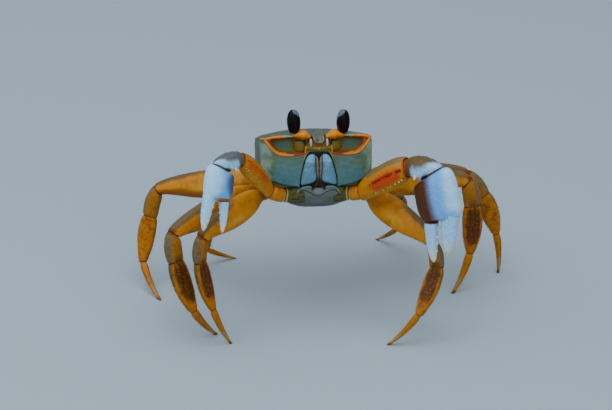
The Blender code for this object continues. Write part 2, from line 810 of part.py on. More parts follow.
def centre_on_floor(stance):
    """Moves the whole crab so that the origin is under the middle of its bounding box."""
    bpy.context.view_layer.update()
    corners = [made.matrix_world @ vert.co for made in bpy.data.objects if made.type == "MESH" for vert in made.data.vertices]
    for axis in range(2):
        low = min(corner[axis] for corner in corners)
        high = max(corner[axis] for corner in corners)
        stance.location[axis] -= (low + high) / 2


def main():
    for old in list(bpy.data.objects):
        bpy.data.objects.remove(old)
    stance = bpy.data.objects.new("stance", None)
    body_frame = bpy.data.objects.new("body_frame", None)
    for empty in (stance, body_frame):
        bpy.context.scene.collection.objects.link(empty)
    body_frame.parent = stance
    body_frame.location = BODY_CENTRE * MM
    body_frame.rotation_mode = "YXZ"
    body_frame.rotation_euler = (math.radians(-NOSE_UP), math.radians(RIGHT_SIDE_UP), math.radians(BODY_TURN))
    carapace(body_frame)
    thorax(body_frame)
    abdomen(body_frame)
    maxillipeds(body_frame)
    eyes(body_frame)
    antennules(body_frame)
    for name in SIDES:
        claw(name, stance)
        for limb in LEGS:
            walking_leg(name, limb, stance)
    centre_on_floor(stance)


main()
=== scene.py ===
# %% [markdown]
# # An Atlantic ghost crab
# A ghost crab is a square shore crab on long legs. Its body is a box of stiff shell plates with soft skin
# only between them, so every plate here is a surface of its own, worked out with numpy from a formula and
# laid over the imported solids. This first cell loads those solids as a fixed frame, and keeps their box,
# inside which every new piece is later kept.
# %% Load the imported crab
import math

import bpy
import numpy as np
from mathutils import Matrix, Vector


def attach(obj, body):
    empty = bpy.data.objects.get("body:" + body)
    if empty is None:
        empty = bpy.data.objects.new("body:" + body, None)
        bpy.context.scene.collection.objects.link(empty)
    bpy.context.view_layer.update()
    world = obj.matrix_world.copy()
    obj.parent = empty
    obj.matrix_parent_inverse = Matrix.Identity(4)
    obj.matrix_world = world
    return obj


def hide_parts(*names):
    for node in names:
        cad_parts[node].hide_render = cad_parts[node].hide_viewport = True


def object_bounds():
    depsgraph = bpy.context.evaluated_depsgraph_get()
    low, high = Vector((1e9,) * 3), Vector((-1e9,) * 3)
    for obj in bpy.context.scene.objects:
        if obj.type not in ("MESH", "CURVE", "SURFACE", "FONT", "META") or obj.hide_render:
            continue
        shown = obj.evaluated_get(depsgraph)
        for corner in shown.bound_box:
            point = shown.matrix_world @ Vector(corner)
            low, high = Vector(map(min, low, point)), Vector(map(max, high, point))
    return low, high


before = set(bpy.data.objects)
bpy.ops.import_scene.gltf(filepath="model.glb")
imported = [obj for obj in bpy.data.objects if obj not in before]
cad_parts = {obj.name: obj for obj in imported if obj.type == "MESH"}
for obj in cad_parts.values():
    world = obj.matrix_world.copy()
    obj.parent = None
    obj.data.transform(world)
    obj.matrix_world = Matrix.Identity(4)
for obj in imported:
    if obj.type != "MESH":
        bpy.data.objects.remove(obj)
cad_box = [list(corner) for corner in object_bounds()]
solids_colours = len(bpy.data.materials)
MM = 0.001
box = np.array(cad_box) / MM
print("the solids reach from", box[0].round(2), "to", box[1].round(2), "mm")

# %% [markdown]
# ## The camera, floor and light
# The crab is seen from about 27 degrees above the floor and a metre away, slightly from its own right. A long
# lens keeps the near and far legs almost the same size. The floor is plain and pale, and large lights give
# soft shadows and soft highlights on the eyes.
# %% Colours and nodes


def colour(code):
    """A hex code as linear light: c / 12.92 up to 0.04045, ((c + 0.055) / 1.055) to the 2.4 above it."""
    channels = np.array([int(code[place : place + 2], 16) for place in (1, 3, 5)]) / 255
    linear = np.where(channels <= 0.04045, channels / 12.92, ((channels + 0.055) / 1.055) ** 2.4)
    return (*linear.tolist(), 1.0)


def add(finish, kind, inputs=None, **settings):
    """Adds one node with its settings. Each input is a plain value or another node's output."""
    tree = finish.node_tree
    made = tree.nodes.new(kind)
    for name, value in settings.items():
        setattr(made, name, value)
    for socket, value in (inputs or {}).items():
        if isinstance(value, bpy.types.NodeSocket):
            tree.links.new(value, made.inputs[socket])
        else:
            made.inputs[socket].default_value = value
    return made


def new_finish(name):
    """An empty material and the output that its shader goes to."""
    finish = bpy.data.materials.new(name)
    finish.use_nodes = True
    finish.node_tree.nodes.clear()
    return finish, add(finish, "ShaderNodeOutputMaterial")


print("a middle grey lets through", round(colour("#808080")[0], 3), "of the light")

# %% Set the stage
CAMERA_MM = (-92.3, -814.8, 454.0)
TARGET_MM = (0.9, 71.2, 0.0)
LENS_MM = 152.9
SENSOR_MM = 36.0
CRAB_MIDDLE = (0.0, 0.0, 0.03)
# Each lamp's place and width in metres, its power in watts and its tint.
LAMPS = {
    "sky": ((-0.15, -0.2, 0.95), 1.1, 10.5, "#F0F5FF"),
    "front": ((0.25, -0.95, 0.35), 0.9, 1.9, "#FFFAF4"),
    "side": ((-0.85, -0.1, 0.45), 0.6, 0.9, "#EEF4FF"),
}
STUDIO_TINT = "#E4E9EE"
STUDIO_STRENGTH = 0.55
FLOOR_HALF = 1.6


def aimed(name, data, location, target):
    """An object for a camera or a lamp that stands at `location` and looks toward `target`, in metres."""
    made = bpy.data.objects.new(name, data)
    bpy.context.scene.collection.objects.link(made)
    made.location = location
    made.rotation_mode = "QUATERNION"
    made.rotation_quaternion = (Vector(target) - Vector(location)).to_track_quat("-Z", "Y")
    return made


camera_at, target_at = ([value * MM for value in place] for place in (CAMERA_MM, TARGET_MM))
camera = aimed("camera", bpy.data.cameras.new("camera"), camera_at, target_at)
camera.data.lens = LENS_MM
camera.data.sensor_width = SENSOR_MM
bpy.context.scene.camera = camera

for name, (location, width, watts, tint) in LAMPS.items():
    light = bpy.data.lights.new(name, "AREA")
    light.size = width
    light.energy = watts
    light.color = colour(tint)[:3]
    aimed(name, light, location, CRAB_MIDDLE)

world = bpy.data.worlds.new("studio")
bpy.context.scene.world = world
world.use_nodes = True
studio = world.node_tree.nodes["Background"].inputs
studio["Color"].default_value = colour(STUDIO_TINT)
studio["Strength"].default_value = STUDIO_STRENGTH

floor_mesh = bpy.data.meshes.new("floor")
corners = [(x * FLOOR_HALF, y * FLOOR_HALF, 0) for x, y in ((-1, -1), (1, -1), (1, 1), (-1, 1))]
floor_mesh.from_pydata(corners, [], [(0, 1, 2, 3)])
floor = bpy.data.objects.new("floor", floor_mesh)
bpy.context.scene.collection.objects.link(floor)
# Uncoated card, pressed without a glaze: its loose fibres scatter light, so it looks even and shows no lamp.
card, card_out = new_finish("pale_matt_floor")
dull = {"Base Color": colour("#9FB0BA"), "Roughness": 0.95, "Specular IOR Level": 0.2}
card_shader = add(card, "ShaderNodeBsdfPrincipled", dull)
card.node_tree.links.new(card_shader.outputs[0], card_out.inputs[0])
floor_mesh.materials.append(card)
print("the camera stands", round(float(np.linalg.norm(np.subtract(camera_at, target_at))), 2), "m away")

# %% [markdown]
# ## The pose in numbers
# A crab's limb is a chain of stiff pieces. Each is named by how far it turns ahead of straight out and how
# far it rises, the same numbers that the solids were made from, so the surfaces below land on them. The body
# is a level frame of its own, tipped nose up and rolled a little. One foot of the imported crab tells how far
# the whole was shifted to centre it.
# %% Sizes and poses
GAP = 0.3
BODY_CENTRE = np.array([-0.9, 0.0, 55.7])
NOSE_UP = math.radians(19.0)
BODY_TURN = math.radians(4.0)
RIGHT_SIDE_UP = math.radians(2.8)
HALF = 20.15
SIDES = {"right": -1, "left": 1}
# Where each limb leaves the body, on the left side: the claw first, then the four walking legs.
HIPS = {
    0: (11.6, -12.6, -13.4),
    1: (15.5, -6.0, -12.5),
    2: (16.5, 0.0, -12.0),
    3: (16.0, 6.0, -11.0),
    4: (13.5, 11.5, -9.5),
}
COXA_LENGTH = 7.0
CLAW_COXA = 5.6

# Lengths of merus, carpus, propodus and dactyl, then the depth of the merus and of the shin.
LEGS = {
    1: (33.7, 8.8, 17.8, 15.5, 9.8, 6.0),
    2: (39.9, 9.7, 18.4, 15.8, 10.4, 7.1),
    3: (41.8, 10.5, 16.8, 16.1, 10.0, 6.6),
    4: (28.8, 7.9, 13.4, 12.8, 7.6, 4.8),
}
# Each piece's degrees ahead and up, from merus to propodus, then the dactyl's degrees ahead.
STANCE = {
    ("right", 1): ((40, -11), (60, -80), (149, -75), -178),
    ("right", 2): ((32, -9), (104, -75), (137, -66), -148),
    ("right", 3): ((-26, -14), (24, -71), (65, -63), 112),
    ("right", 4): ((-33, -35), (-45, -74), (-102, -81), -161),
    ("left", 1): ((39, -23), (79, -56), (129, -47), -176),
    ("left", 2): ((-3, -3), (14, -78), (107, -84), 146),
    ("left", 3): ((-5, -3), (1, -54), (1, -71), 15),
    ("left", 4): ((-24, -33), (-70, -61), (-99, -61), -127),
}
# Lengths and degrees of ischium, merus, carpus and palm, the depths and the palm's size, then how far ahead
# and aside of the knuckle each finger's tip lies.
CLAWS = {
    "right": {
        "lengths": (5.7, 21.1, 8.5, 10.7),
        "poses": ((18, 21), (36, 52), (32, -2), (71, -63)),
        "arm_depth": 6.0,
        "wrist_depth": 6.2,
        "palm_width": 11.0,
        "palm_thick": 6.2,
        "fixed_reach": (11.2, 4.2),
        "moving_reach": (11.2, -3.4),
    },
    "left": {
        "lengths": (4.5, 21.3, 9.8, 16.3),
        "poses": ((26, 9), (28, 37), (39, 4), (66, -68)),
        "arm_depth": 9.0,
        "wrist_depth": 7.8,
        "palm_width": 16.4,
        "palm_thick": 8.4,
        "fixed_reach": (12.4, -0.4),
        "moving_reach": (14.8, -6.2),
    },
}
print("the carapace is", 2 * HALF, "mm wide and tipped", round(math.degrees(NOSE_UP)), "degrees")

# %% Joints


def unit(way):
    """The way at length one."""
    way = np.asarray(way, float)
    return way / np.linalg.norm(way, axis=-1, keepdims=True)


def direction(side, ahead, rise):
    """The unit way `ahead` degrees forward of straight out on that side and `rise` degrees above level."""
    ahead, rise = math.radians(ahead), math.radians(rise)
    level = math.cos(rise)
    return np.array([side * level * math.cos(ahead), -level * math.sin(ahead), math.sin(rise)])


def turned(points):
    """Ways of the body's own frame in the room: rolled about Y, tipped nose up about X, turned about Z."""
    roll, tip, turn = RIGHT_SIDE_UP, NOSE_UP, BODY_TURN
    points = np.asarray(points, float)
    x, y, z = points[..., 0], points[..., 1], points[..., 2]
    x, z = x * math.cos(roll) + z * math.sin(roll), -x * math.sin(roll) + z * math.cos(roll)
    y, z = y * math.cos(tip) + z * math.sin(tip), -y * math.sin(tip) + z * math.cos(tip)
    return np.stack([x * math.cos(turn) - y * math.sin(turn), x * math.sin(turn) + y * math.cos(turn), z], -1)


def hip_of(side, limb_number):
    """Where a limb leaves the body, in the room."""
    return BODY_CENTRE + turned(np.array(HIPS[limb_number]) * (side, 1, 1))


def coxa_way(side, out):
    """The level way of a limb's base: straight out, turned half as far ahead as the limb is."""
    return unit([side, out[1] * 0.5, 0])


def planes_between(joints, first, last):
    """Each joint's plane normal is the mean of the two pieces' ways."""
    ways = [unit(after - before) for before, after in zip(joints, joints[1:])]
    return [first, *[unit(before + after) for before, after in zip(ways, ways[1:])], last]


def leg_joints(name, limb_number):
    """The five joints of a walking leg from hip to foot, and the plane in which two pieces meet at each."""
    side = SIDES[name]
    merus, carpus, propodus, dactyl = LEGS[limb_number][:4]
    *ways, heading = STANCE[name, limb_number]
    joints = [hip_of(side, limb_number)]
    for (ahead, rise), length in zip(ways, (merus, carpus, propodus)):
        joints.append(joints[-1] + direction(side, ahead, rise) * length)
    slope = -math.degrees(math.asin(joints[-1][2] / dactyl))
    joints.append(joints[-1] + direction(side, heading, slope) * dactyl)
    out = direction(side, *ways[0])
    return joints, planes_between(joints, unit(coxa_way(side, out) + out), np.array([0.0, 0.0, -1.0]))


SOLE_MM = 0.01
foot = np.array([vertex.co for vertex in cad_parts["leg1_right_dactyl"].data.vertices]) / MM
foot = foot[foot[:, 2] < SOLE_MM].mean(0)
SHIFT = (foot - leg_joints("right", 1)[0][-1]) * (1, 1, 0)
print("the pose is shifted by", SHIFT.round(2), "mm to centre it")

# %% [markdown]
# ## From a grid of points to a shell
# Every surface is a grid: rings of points one behind the other. Numpy works out the whole grid at once, and
# one helper joins neighbouring rings with four-sided faces and closes both ends with a fan. It also measures
# the volume that the faces enclose, because a negative one means that they look inward and have to be turned
# round.
# %% Curves and steps


def flowing(x, stops, values):
    """Values on a smooth cubic through the stops, whose slope at each is the mean of the chords beside it."""
    stops, values = np.asarray(stops, float), np.asarray(values, float)
    spread = [-1] + [1] * (values.ndim - 1)
    chord = np.diff(values, axis=0) / np.diff(stops).reshape(spread)
    slope = np.concatenate([chord[:1], (chord[:-1] + chord[1:]) / 2, chord[-1:]])
    x = np.clip(x, stops[0], stops[-1])
    place = np.clip(np.searchsorted(stops, x, side="right") - 1, 0, len(stops) - 2)
    step = (stops[place + 1] - stops[place]).reshape(spread)
    t = ((x - stops[place]).reshape(spread)) / step
    curve = (2 * t**3 - 3 * t**2 + 1) * values[place] + (t**3 - 2 * t**2 + t) * step * slope[place]
    return curve + (3 * t**2 - 2 * t**3) * values[place + 1] + (t**3 - t**2) * step * slope[place + 1]


def fade(value, low, high):
    """0 below `low` and 1 above `high`, joined by 3 t squared less 2 t cubed."""
    t = np.clip((np.asarray(value, float) - low) / (high - low), 0, 1)
    return t * t * (3 - 2 * t)


def bump(value, centre, width):
    """A bell of height one round `centre`: e to the minus square of the distance over the width."""
    return np.exp(-(((value - centre) / width) ** 2))


def power(value, exponent):
    """A power that keeps the sign."""
    return np.sign(value) * np.abs(value) ** exponent


def travelled(points):
    """How far along a line of points each of them lies."""
    return np.append(0, np.cumsum(np.linalg.norm(np.diff(points, axis=0), axis=-1)))


print("a quarter of the way up, a fade has reached", float(fade(0.25, 0, 1)))

# %% Meshes and their place in the crab


def mesh_of(name, points, face_groups, masks=None):
    """An object with these points, in millimetres, kept in the solids' box, its faces turned outward."""
    corners = points - points.mean(0)
    volume = 0.0
    for faces in face_groups:
        for step in range(1, faces.shape[1] - 1 if len(faces) else 1):
            a, b, c = corners[faces[:, 0]], corners[faces[:, step]], corners[faces[:, step + 1]]
            volume += np.einsum("ij,ij->i", a, np.cross(b, c)).sum()
    if volume < 0:
        face_groups = [faces[:, ::-1] for faces in face_groups]
    mesh = bpy.data.meshes.new(name)
    faces = [face for group in face_groups for face in group.tolist()]
    mesh.from_pydata((np.clip(points, *box) * MM).tolist(), [], faces)
    for key, value in (masks or {}).items():
        kept = mesh.attributes.new(key, "FLOAT", "POINT")
        kept.data.foreach_set("value", np.asarray(value, np.float32))
    mesh.shade_smooth()
    made = bpy.data.objects.new(name, mesh)
    bpy.context.scene.collection.objects.link(made)
    return made


def shell(name, rings, masks=None, looped=False):
    """A closed mesh through rings[row, column], in millimetres; `masks` are numbers kept on its points."""
    rows, columns = rings.shape[:2]
    ring = np.arange(columns)
    after = np.roll(ring, -1)
    level = np.arange(rows if looped else rows - 1)[:, None] * columns
    above = (level + columns) % (rows * columns)
    quads = np.stack([level + ring, level + after, above + after, above + ring], -1).reshape(-1, 4)
    points = rings.reshape(-1, 3)
    masks = {key: np.broadcast_to(value, (rows, columns)).reshape(-1) for key, value in (masks or {}).items()}
    fans = np.zeros((0, 3), int)
    if not looped:
        foot_fan = np.stack([np.full(columns, rows * columns), after, ring], -1)
        top = (rows - 1) * columns
        top_fan = np.stack([np.full(columns, rows * columns + 1), ring + top, after + top], -1)
        fans = np.concatenate([foot_fan, top_fan])
        points = np.concatenate([points, rings[:1].mean(1), rings[-1:].mean(1)])
        for key, value in masks.items():
            masks[key] = np.append(value, [value[:columns].mean(), value[-columns:].mean()])
    return mesh_of(name, points, [quads, fans], masks)


def settle(piece, finish, slot, *nodes):
    """Gives a piece its finish and its place: it rides on the root and stands for the solids named."""
    piece.data.materials.append(finish)
    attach(piece, "root")
    if nodes:
        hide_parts(*nodes)
    return piece


def carried(rings, in_body=False):
    """Points of the pose, or of the body's own frame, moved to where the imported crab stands."""
    return (BODY_CENTRE + turned(rings) if in_body else rings) + SHIFT


def lay(name, rings, finish, slot, *nodes, masks=None, in_body=False, looped=False):
    """A finished shell through rings of the pose, or of the body's own frame."""
    return settle(shell(name, carried(rings, in_body), masks, looped), finish, slot, *nodes)


def raised(rings, ways, relief):
    """The rings with each point moved along its own way out by the relief there."""
    return rings + ways * relief[..., None]


print("pieces are kept between heights", box[0][2].round(2), "and", box[1][2].round(2), "mm")

# %% [markdown]
# ## Shell as a material
# Crab shell is chitin stiffened with lime. Its colour sits in the outer layer in freckles and clouds, it is
# hard and only half glossy, and it is finely pitted and granular. So each finish starts from one colour, lays
# others over it where a mask on the mesh says so, with ragged edges from a noise, adds freckles, and gets a
# fine bump. The refractive index is that of chitin. Real pits and freckles are under a tenth of a millimetre,
# too fine to show, so both are drawn several times as coarse.
# %% Shell finish
CHITIN_IOR = 1.56
PIT_DEPTH = 0.0002


def laid_over(finish, hue, cloud, layers, low, high):
    """Lays (mask, colour, raggedness) layers over the hue, by a smooth step of mask + noise * raggedness."""
    for mask, code, ragged in layers:
        held = add(finish, "ShaderNodeAttribute", attribute_name=mask).outputs["Fac"]
        noise = add(finish, "ShaderNodeMath", {0: cloud, 1: 0.5}, operation="SUBTRACT").outputs[0]
        edge = add(finish, "ShaderNodeMath", {0: noise, 1: ragged, 2: held}, operation="MULTIPLY_ADD")
        step = {0: edge.outputs[0], 1: low, 2: high}
        amount = add(finish, "ShaderNodeMapRange", step, interpolation_type="SMOOTHSTEP").outputs[0]
        mixed = {0: amount, 6: hue, 7: colour(code)}
        hue = add(finish, "ShaderNodeMix", mixed, data_type="RGBA").outputs[2]
    return hue


def shell_finish(name, base, layers=(), rough=0.46, grain_mm=0.5, grain=0.25, coat=0.0, shine=0.32, **spots):
    """A shell material. `spots` may hold a mottle and a freckle, each (colour, size in mm, share)."""
    finish, out = new_finish(name)
    place = add(finish, "ShaderNodeTexCoord").outputs["Object"]
    clouds = {"Vector": place, "Scale": 1 / (CLOUD_MM * MM), "Detail": 4.0, "Roughness": 0.6}
    cloud = add(finish, "ShaderNodeTexNoise", clouds).outputs["Fac"]
    pits = {"Vector": place, "Scale": 1 / (grain_mm * MM), "Detail": 3.0}
    fine = add(finish, "ShaderNodeTexNoise", pits).outputs["Fac"]
    mixed = {0: cloud, 6: colour(base[0]), 7: colour(base[1])}
    hue = add(finish, "ShaderNodeMix", mixed, data_type="RGBA").outputs[2]
    hue = laid_over(finish, hue, cloud, layers, 0.15, 0.85)
    if "mottle" in spots:
        code, size_mm, share = spots["mottle"]
        blots = {"Vector": place, "Scale": 1 / (size_mm * MM), "Detail": 2.0}
        blot = add(finish, "ShaderNodeTexNoise", blots).outputs["Fac"]
        amount = add(finish, "ShaderNodeMapRange", {0: blot, 1: 0.5, 2: 0.66, 4: share}).outputs[0]
        mixed = {0: amount, 6: hue, 7: colour(code)}
        hue = add(finish, "ShaderNodeMix", mixed, data_type="RGBA").outputs[2]
    if "freckle" in spots:
        code, size_mm, share = spots["freckle"]
        cells = {"Vector": place, "Scale": 1 / (size_mm * MM)}
        distance = add(finish, "ShaderNodeTexVoronoi", cells).outputs["Distance"]
        spot = add(finish, "ShaderNodeMapRange", {0: distance, 1: 0.34, 2: 0.12, 4: share}).outputs[0]
        spread = add(finish, "ShaderNodeMath", {0: spot, 1: cloud}, operation="MULTIPLY").outputs[0]
        mixed = {0: spread, 6: hue, 7: colour(code)}
        hue = add(finish, "ShaderNodeMix", mixed, data_type="RGBA").outputs[2]
    rise = add(finish, "ShaderNodeBump", {"Height": fine, "Strength": grain, "Distance": PIT_DEPTH})
    uneven = {0: fine, 1: 0.3, 2: 0.7, 3: rough - 0.08, 4: rough + 0.1}
    surface = {
        "Base Color": hue,
        "Roughness": add(finish, "ShaderNodeMapRange", uneven).outputs[0],
        "IOR": CHITIN_IOR,
        "Specular IOR Level": shine,
        "Normal": rise.outputs[0],
        "Coat Weight": coat,
        "Coat Roughness": 0.25,
    }
    shader = add(finish, "ShaderNodeBsdfPrincipled", surface)
    finish.node_tree.links.new(shader.outputs[0], out.inputs[0])
    return finish


CLOUD_MM = 3.0
print("clouds of colour are", CLOUD_MM, "mm across")

# %% [markdown]
# ## The carapace
# One box-like plate covers the back, the cheeks and the flanks. It is drawn as a spline surface through a net
# of sections from the flat face to the narrow tail. The hollows for the eyes and the mouth are then pressed
# into its front: each point inside an outline moves back by a smooth step of its distance from that outline.
# Subtracting shapes would do it too, but a press keeps the grid whole, and the same distances later paint the
# coloured margins.
# %% Carapace surface
SPLIT_FRONT = (-15.0, -10.4)
SPLIT_RISE = 0.12
# For each station from face to tail: y, the half width as a share of the widest, the height of the back, how
# far the back arches, and how deep the belly would go.
STATIONS = np.array(
    [
        (-17.56, 0.16, -1.6, 0.15, -4.5),
        (-17.5, 0.30, 0.6, 0.3, -6.6),
        (-17.3, 0.46, 2.8, 0.4, -8.5),
        (-17.0, 0.68, 5.5, 0.4, -11.5),
        (-16.2, 0.86, 7.3, 0.45, -13.0),
        (-15.0, 0.935, 7.9, 0.7, -14.0),
        (-13.0, 0.97, 8.1, 1.1, -14.5),
        (-9.0, 1.00, 8.1, 1.6, -14.5),
        (-3.0, 0.995, 8.1, 2.0, -14.0),
        (2.0, 0.965, 7.9, 2.3, -13.5),
        (7.0, 0.885, 7.1, 2.5, -13.0),
        (11.0, 0.76, 6.0, 2.4, -12.0),
        (14.0, 0.61, 4.3, 2.0, -11.0),
        (16.0, 0.46, 2.2, 1.4, -10.0),
        (17.0, 0.34, 0.4, 0.9, -9.5),
        (17.2, 0.2, -1.6, 0.5, -8.6),
    ]
)
# The station that spaces the points round every section, and the corner that spaces the sections.
WIDEST = 8
BACK_CORNER = 4
# Below this height a section is hidden by the breast, so it gets fewer points.
HIDDEN_BELOW = -8.0


def split_height(y):
    """How high the plane between the carapace and the breast plate lies."""
    return SPLIT_FRONT[1] + SPLIT_RISE * (y - SPLIT_FRONT[0])


def carapace_net():
    """The sections' corners [station, corner, xyz], from the middle of the back round to itself again.

    The back falls by the arch times a power of the way out, and the belly is a superellipse.
    """
    y, width, top, arch, bottom = STATIONS.T[:, :, None]
    half = width * HALF
    out = np.linspace(0, 1, 7)
    back = np.stack(np.broadcast_arrays(half * 0.93 * out, y, top - arch * out**2.4), -1)
    shoulder = top - arch
    edge_x = np.concatenate([half * 0.985, half], 1)
    edge_z = np.concatenate([shoulder - 0.9, shoulder - 2.4], 1)
    edge = np.stack(np.broadcast_arrays(edge_x, y, edge_z), -1)
    angle = np.linspace(0, math.pi / 2, 7)
    belt = shoulder - 5.0
    belly_x = half * np.abs(np.cos(angle)) ** 0.5
    belly_x[:, -1] = 0
    belly = np.stack(np.broadcast_arrays(belly_x, y, belt - (belt - bottom) * np.sin(angle) ** 0.5), -1)
    right = np.concatenate([back, edge, belly], 1)
    left = right[:, -2:0:-1] * (-1, 1, 1)
    return np.concatenate([right, left, right[:, :1]], 1)


def carapace_grid(rows, columns):
    """The net's smooth surface: the flowing cubic first round each section and then from face to tail."""
    net = carapace_net()
    corner_z = net[WIDEST, :, 2]
    lengths = np.linalg.norm(np.diff(net[WIDEST], axis=0), axis=-1) ** 0.85
    lengths[(corner_z[:-1] < HIDDEN_BELOW) & (corner_z[1:] < HIDDEN_BELOW)] *= 0.3
    around = np.append(0, np.cumsum(lengths)) / lengths.sum()
    section = flowing(np.linspace(0, 1, columns, endpoint=False), around, np.swapaxes(net, 0, 1))
    travel = travelled(net[:, BACK_CORNER])
    return flowing(np.linspace(0, travel[-1], rows), travel, np.swapaxes(section, 0, 1))


CARAPACE_ROWS = 300
CARAPACE_COLUMNS = 300
body = carapace_grid(CARAPACE_ROWS, CARAPACE_COLUMNS)
flat_y = body[..., 1].copy()
print("the carapace grid has", body.shape[0] * body.shape[1], "points")

# %% Outlines on the face
# The eye hollow's edge from the front, on the crab's left: (x, height) along its floor and back by its brow.
ORBIT = np.array(
    [
        (4.4, 1.9),
        (6.3, 1.2),
        (9.0, 0.9),
        (11.5, 0.9),
        (13.2, 1.1),
        (14.6, 1.7),
        (16.1, 3.1),
        (17.4, 4.7),
        (18.3, 6.1),
        (17.0, 6.75),
        (15.2, 7.05),
        (12.8, 7.2),
        (10.0, 7.3),
        (7.5, 7.15),
        (5.0, 6.6),
        (4.0, 5.0),
    ]
)
ORBIT_POINTS = 72
# The mouth's edge on the crab's right, from its foot up, and the same mirrored.
MOUTH_SIDE = np.array([(-6.9, -14.0), (-6.65, -7.0), (-5.6, -2.4), (-4.7, 0.4), (-3.6, 1.9)])
MOUTH = np.concatenate([MOUTH_SIDE, MOUTH_SIDE[::-1] * (-1, 1)])
# The lower edge of the cheek over the claw's base: (distance from the middle, height).
CHEEK_EDGE = np.array(
    [
        (6.0, -11.5),
        (7.2, -10.3),
        (9.5, -9.8),
        (12.9, -9.1),
        (14.7, -8.3),
        (16.2, -8.2),
        (17.1, -9.1),
        (18.0, -10.2),
        (20.2, -11.5),
    ]
)


def distance_inside(x, z, outline):
    """How far each point lies inside a closed outline, negative outside: the distance to its nearest edge."""
    start = np.asarray(outline, float)
    end = np.roll(start, -1, 0)
    px, pz = x.reshape(-1, 1), z.reshape(-1, 1)
    edge = end - start
    along = ((px - start[:, 0]) * edge[:, 0] + (pz - start[:, 1]) * edge[:, 1]) / (edge**2).sum(1)
    along = np.clip(along, 0, 1)
    away = np.hypot(px - start[:, 0] - along * edge[:, 0], pz - start[:, 1] - along * edge[:, 1]).min(1)
    spans = (start[:, 1] > pz) != (end[:, 1] > pz)
    with np.errstate(divide="ignore", invalid="ignore"):
        crossing = start[:, 0] + (pz - start[:, 1]) * edge[:, 0] / edge[:, 1]
    inside = (spans & (px < crossing)).sum(1) % 2 == 1
    return np.where(inside, away, -away).reshape(x.shape)


def closed_curve(knots, count):
    """A smooth closed line through the knots, by the same cubic."""
    wrapped = np.concatenate([knots[-2:], knots, knots[:3]])
    return flowing(np.linspace(2, len(knots) + 2, count, endpoint=False), np.arange(len(wrapped)), wrapped)


def orbit_outline(side):
    """The eye hollow's edge on one side."""
    return closed_curve(ORBIT, ORBIT_POINTS) * (side, 1)


front = fade(-body[..., 1], 9.0, 12.0)
orbit = np.maximum(*(distance_inside(body[..., 0], body[..., 2], orbit_outline(side)) for side in (1, -1)))
mouth = distance_inside(body[..., 0], body[..., 2], MOUTH)
socket = np.hypot((np.abs(body[..., 0]) - 3.5) / 1.6, (body[..., 2] - 6.2) / 1.3)
from_middle = np.abs(body[..., 0])
under_cheek = flowing(from_middle.reshape(-1), *CHEEK_EDGE.T).reshape(mouth.shape)
under_cheek = (under_cheek - body[..., 2]) * fade(from_middle, 6.6, 7.0)
print("an eye hollow is", round(float(orbit.max() * 2), 1), "mm high")

# %% [markdown]
# Low relief follows: the two grooves that bound the heart region and open toward the tail, the swollen
# cheeks, and a few soft folds in them. Then the hollows are pressed in, and what lies under the breast is cut
# off level.
# %% Carapace relief
ORBIT_DEPTH = 2.9
SOCKET_DEPTH = 2.2
MOUTH_DEPTH = 1.9
UNDER_CHEEK_DEPTH = 1.6
# The ellipsoid whose ways outward the relief follows: its centre and its half axes.
HEART = np.array([0.0, 0.0, -3.0])
HEART_AXES = np.array([HALF, 17.0, 9.0])

x, y, z = body[..., 0], body[..., 1], body[..., 2]
wide = np.abs(x)
on_back = fade(z, 3.0, 6.0) * fade(y, -15.0, -12.0)
groove = bump(wide, 5.6 - 1.8 * np.sin((y + 4) / 7), 0.5) * fade(y, -9.0, -5.0) * fade(-y, -13.0, -10.0)
cross = bump(y, 1.0 + wide * 0.35, 0.55) * fade(7.0 - wide, 0.0, 3.0)
branch = bump(y, -6.0 + wide * 0.55, 0.7) * fade(wide, 6.0, 8.0) * fade(16.0 - wide, 0.0, 4.0)
sunk = on_back * (0.34 * groove + 0.24 * cross + 0.2 * branch)
swell = 0.5 * bump(wide, 12.5, 4.0) * bump(z, -4.5, 4.0) * front
folds = 0.045 * np.sin(z * 3.1 + np.sin(x * 0.55) * 1.5) * bump(wide, 12.0, 5.5) * bump(z, -2.5, 3.4) * front
body += unit((body - HEART) / HEART_AXES**2) * (swell + folds - sunk)[..., None]
body[..., 1] += front * ORBIT_DEPTH * np.sqrt(1 - (1 - np.clip(orbit / 2.2, 0, 1)) ** 2)
body[..., 1] += front * SOCKET_DEPTH * fade(-socket, -1.15, -0.75) * (orbit < 0.3)
body[..., 1] += front * MOUTH_DEPTH * fade(mouth, 0.0, 0.5)
body[..., 1] += front * UNDER_CHEEK_DEPTH * fade(under_cheek, 0.0, 0.5)
body[..., 2] = np.maximum(body[..., 2], split_height(body[..., 1]))
print("the grooves of the back are", round(float(sunk.max()), 2), "mm deep at most")

# %% Carapace colours
out_share = wide / (np.interp(flat_y, STATIONS[:, 0], STATIONS[:, 1]) * HALF)
off_top = fade(6.0 - z, 0.0, 2.0)
rear_slope = fade(y, -2.0, 8.0) * fade(z, -7.0, 0.0)
outer_corner = fade(orbit, 0.1, 0.5) * fade(wide, 15.0, 17.6) * fade(2.4 - np.maximum(orbit, 0), 0.0, 1.6)
beside_brow = fade(orbit, 0.2, 0.8) * fade(8.9 - wide, 0.0, 1.2)
over_bar = fade(6.2 - wide, 0.0, 1.4) * fade(z, 1.9, 2.6) * fade(6.9 - z, 0.0, 0.8)
below_hollow = fade(-orbit, 0.0, 0.4) * fade(2.6 + orbit, 0.0, 1.6) * fade(2.5 - z, 0.0, 1.0)
# Painted shade: the mouth's hollow is darkened below its top, and a thin painted shadow line runs along the
# lower edge of the cheek.
mouth_shade = front * fade(mouth, 0.1, 0.5) * fade(1.6 - z, 0.0, 0.6)
cheek_shade = front * bump(under_cheek, 0.1, 0.22) * fade(wide, 6.8, 7.4)
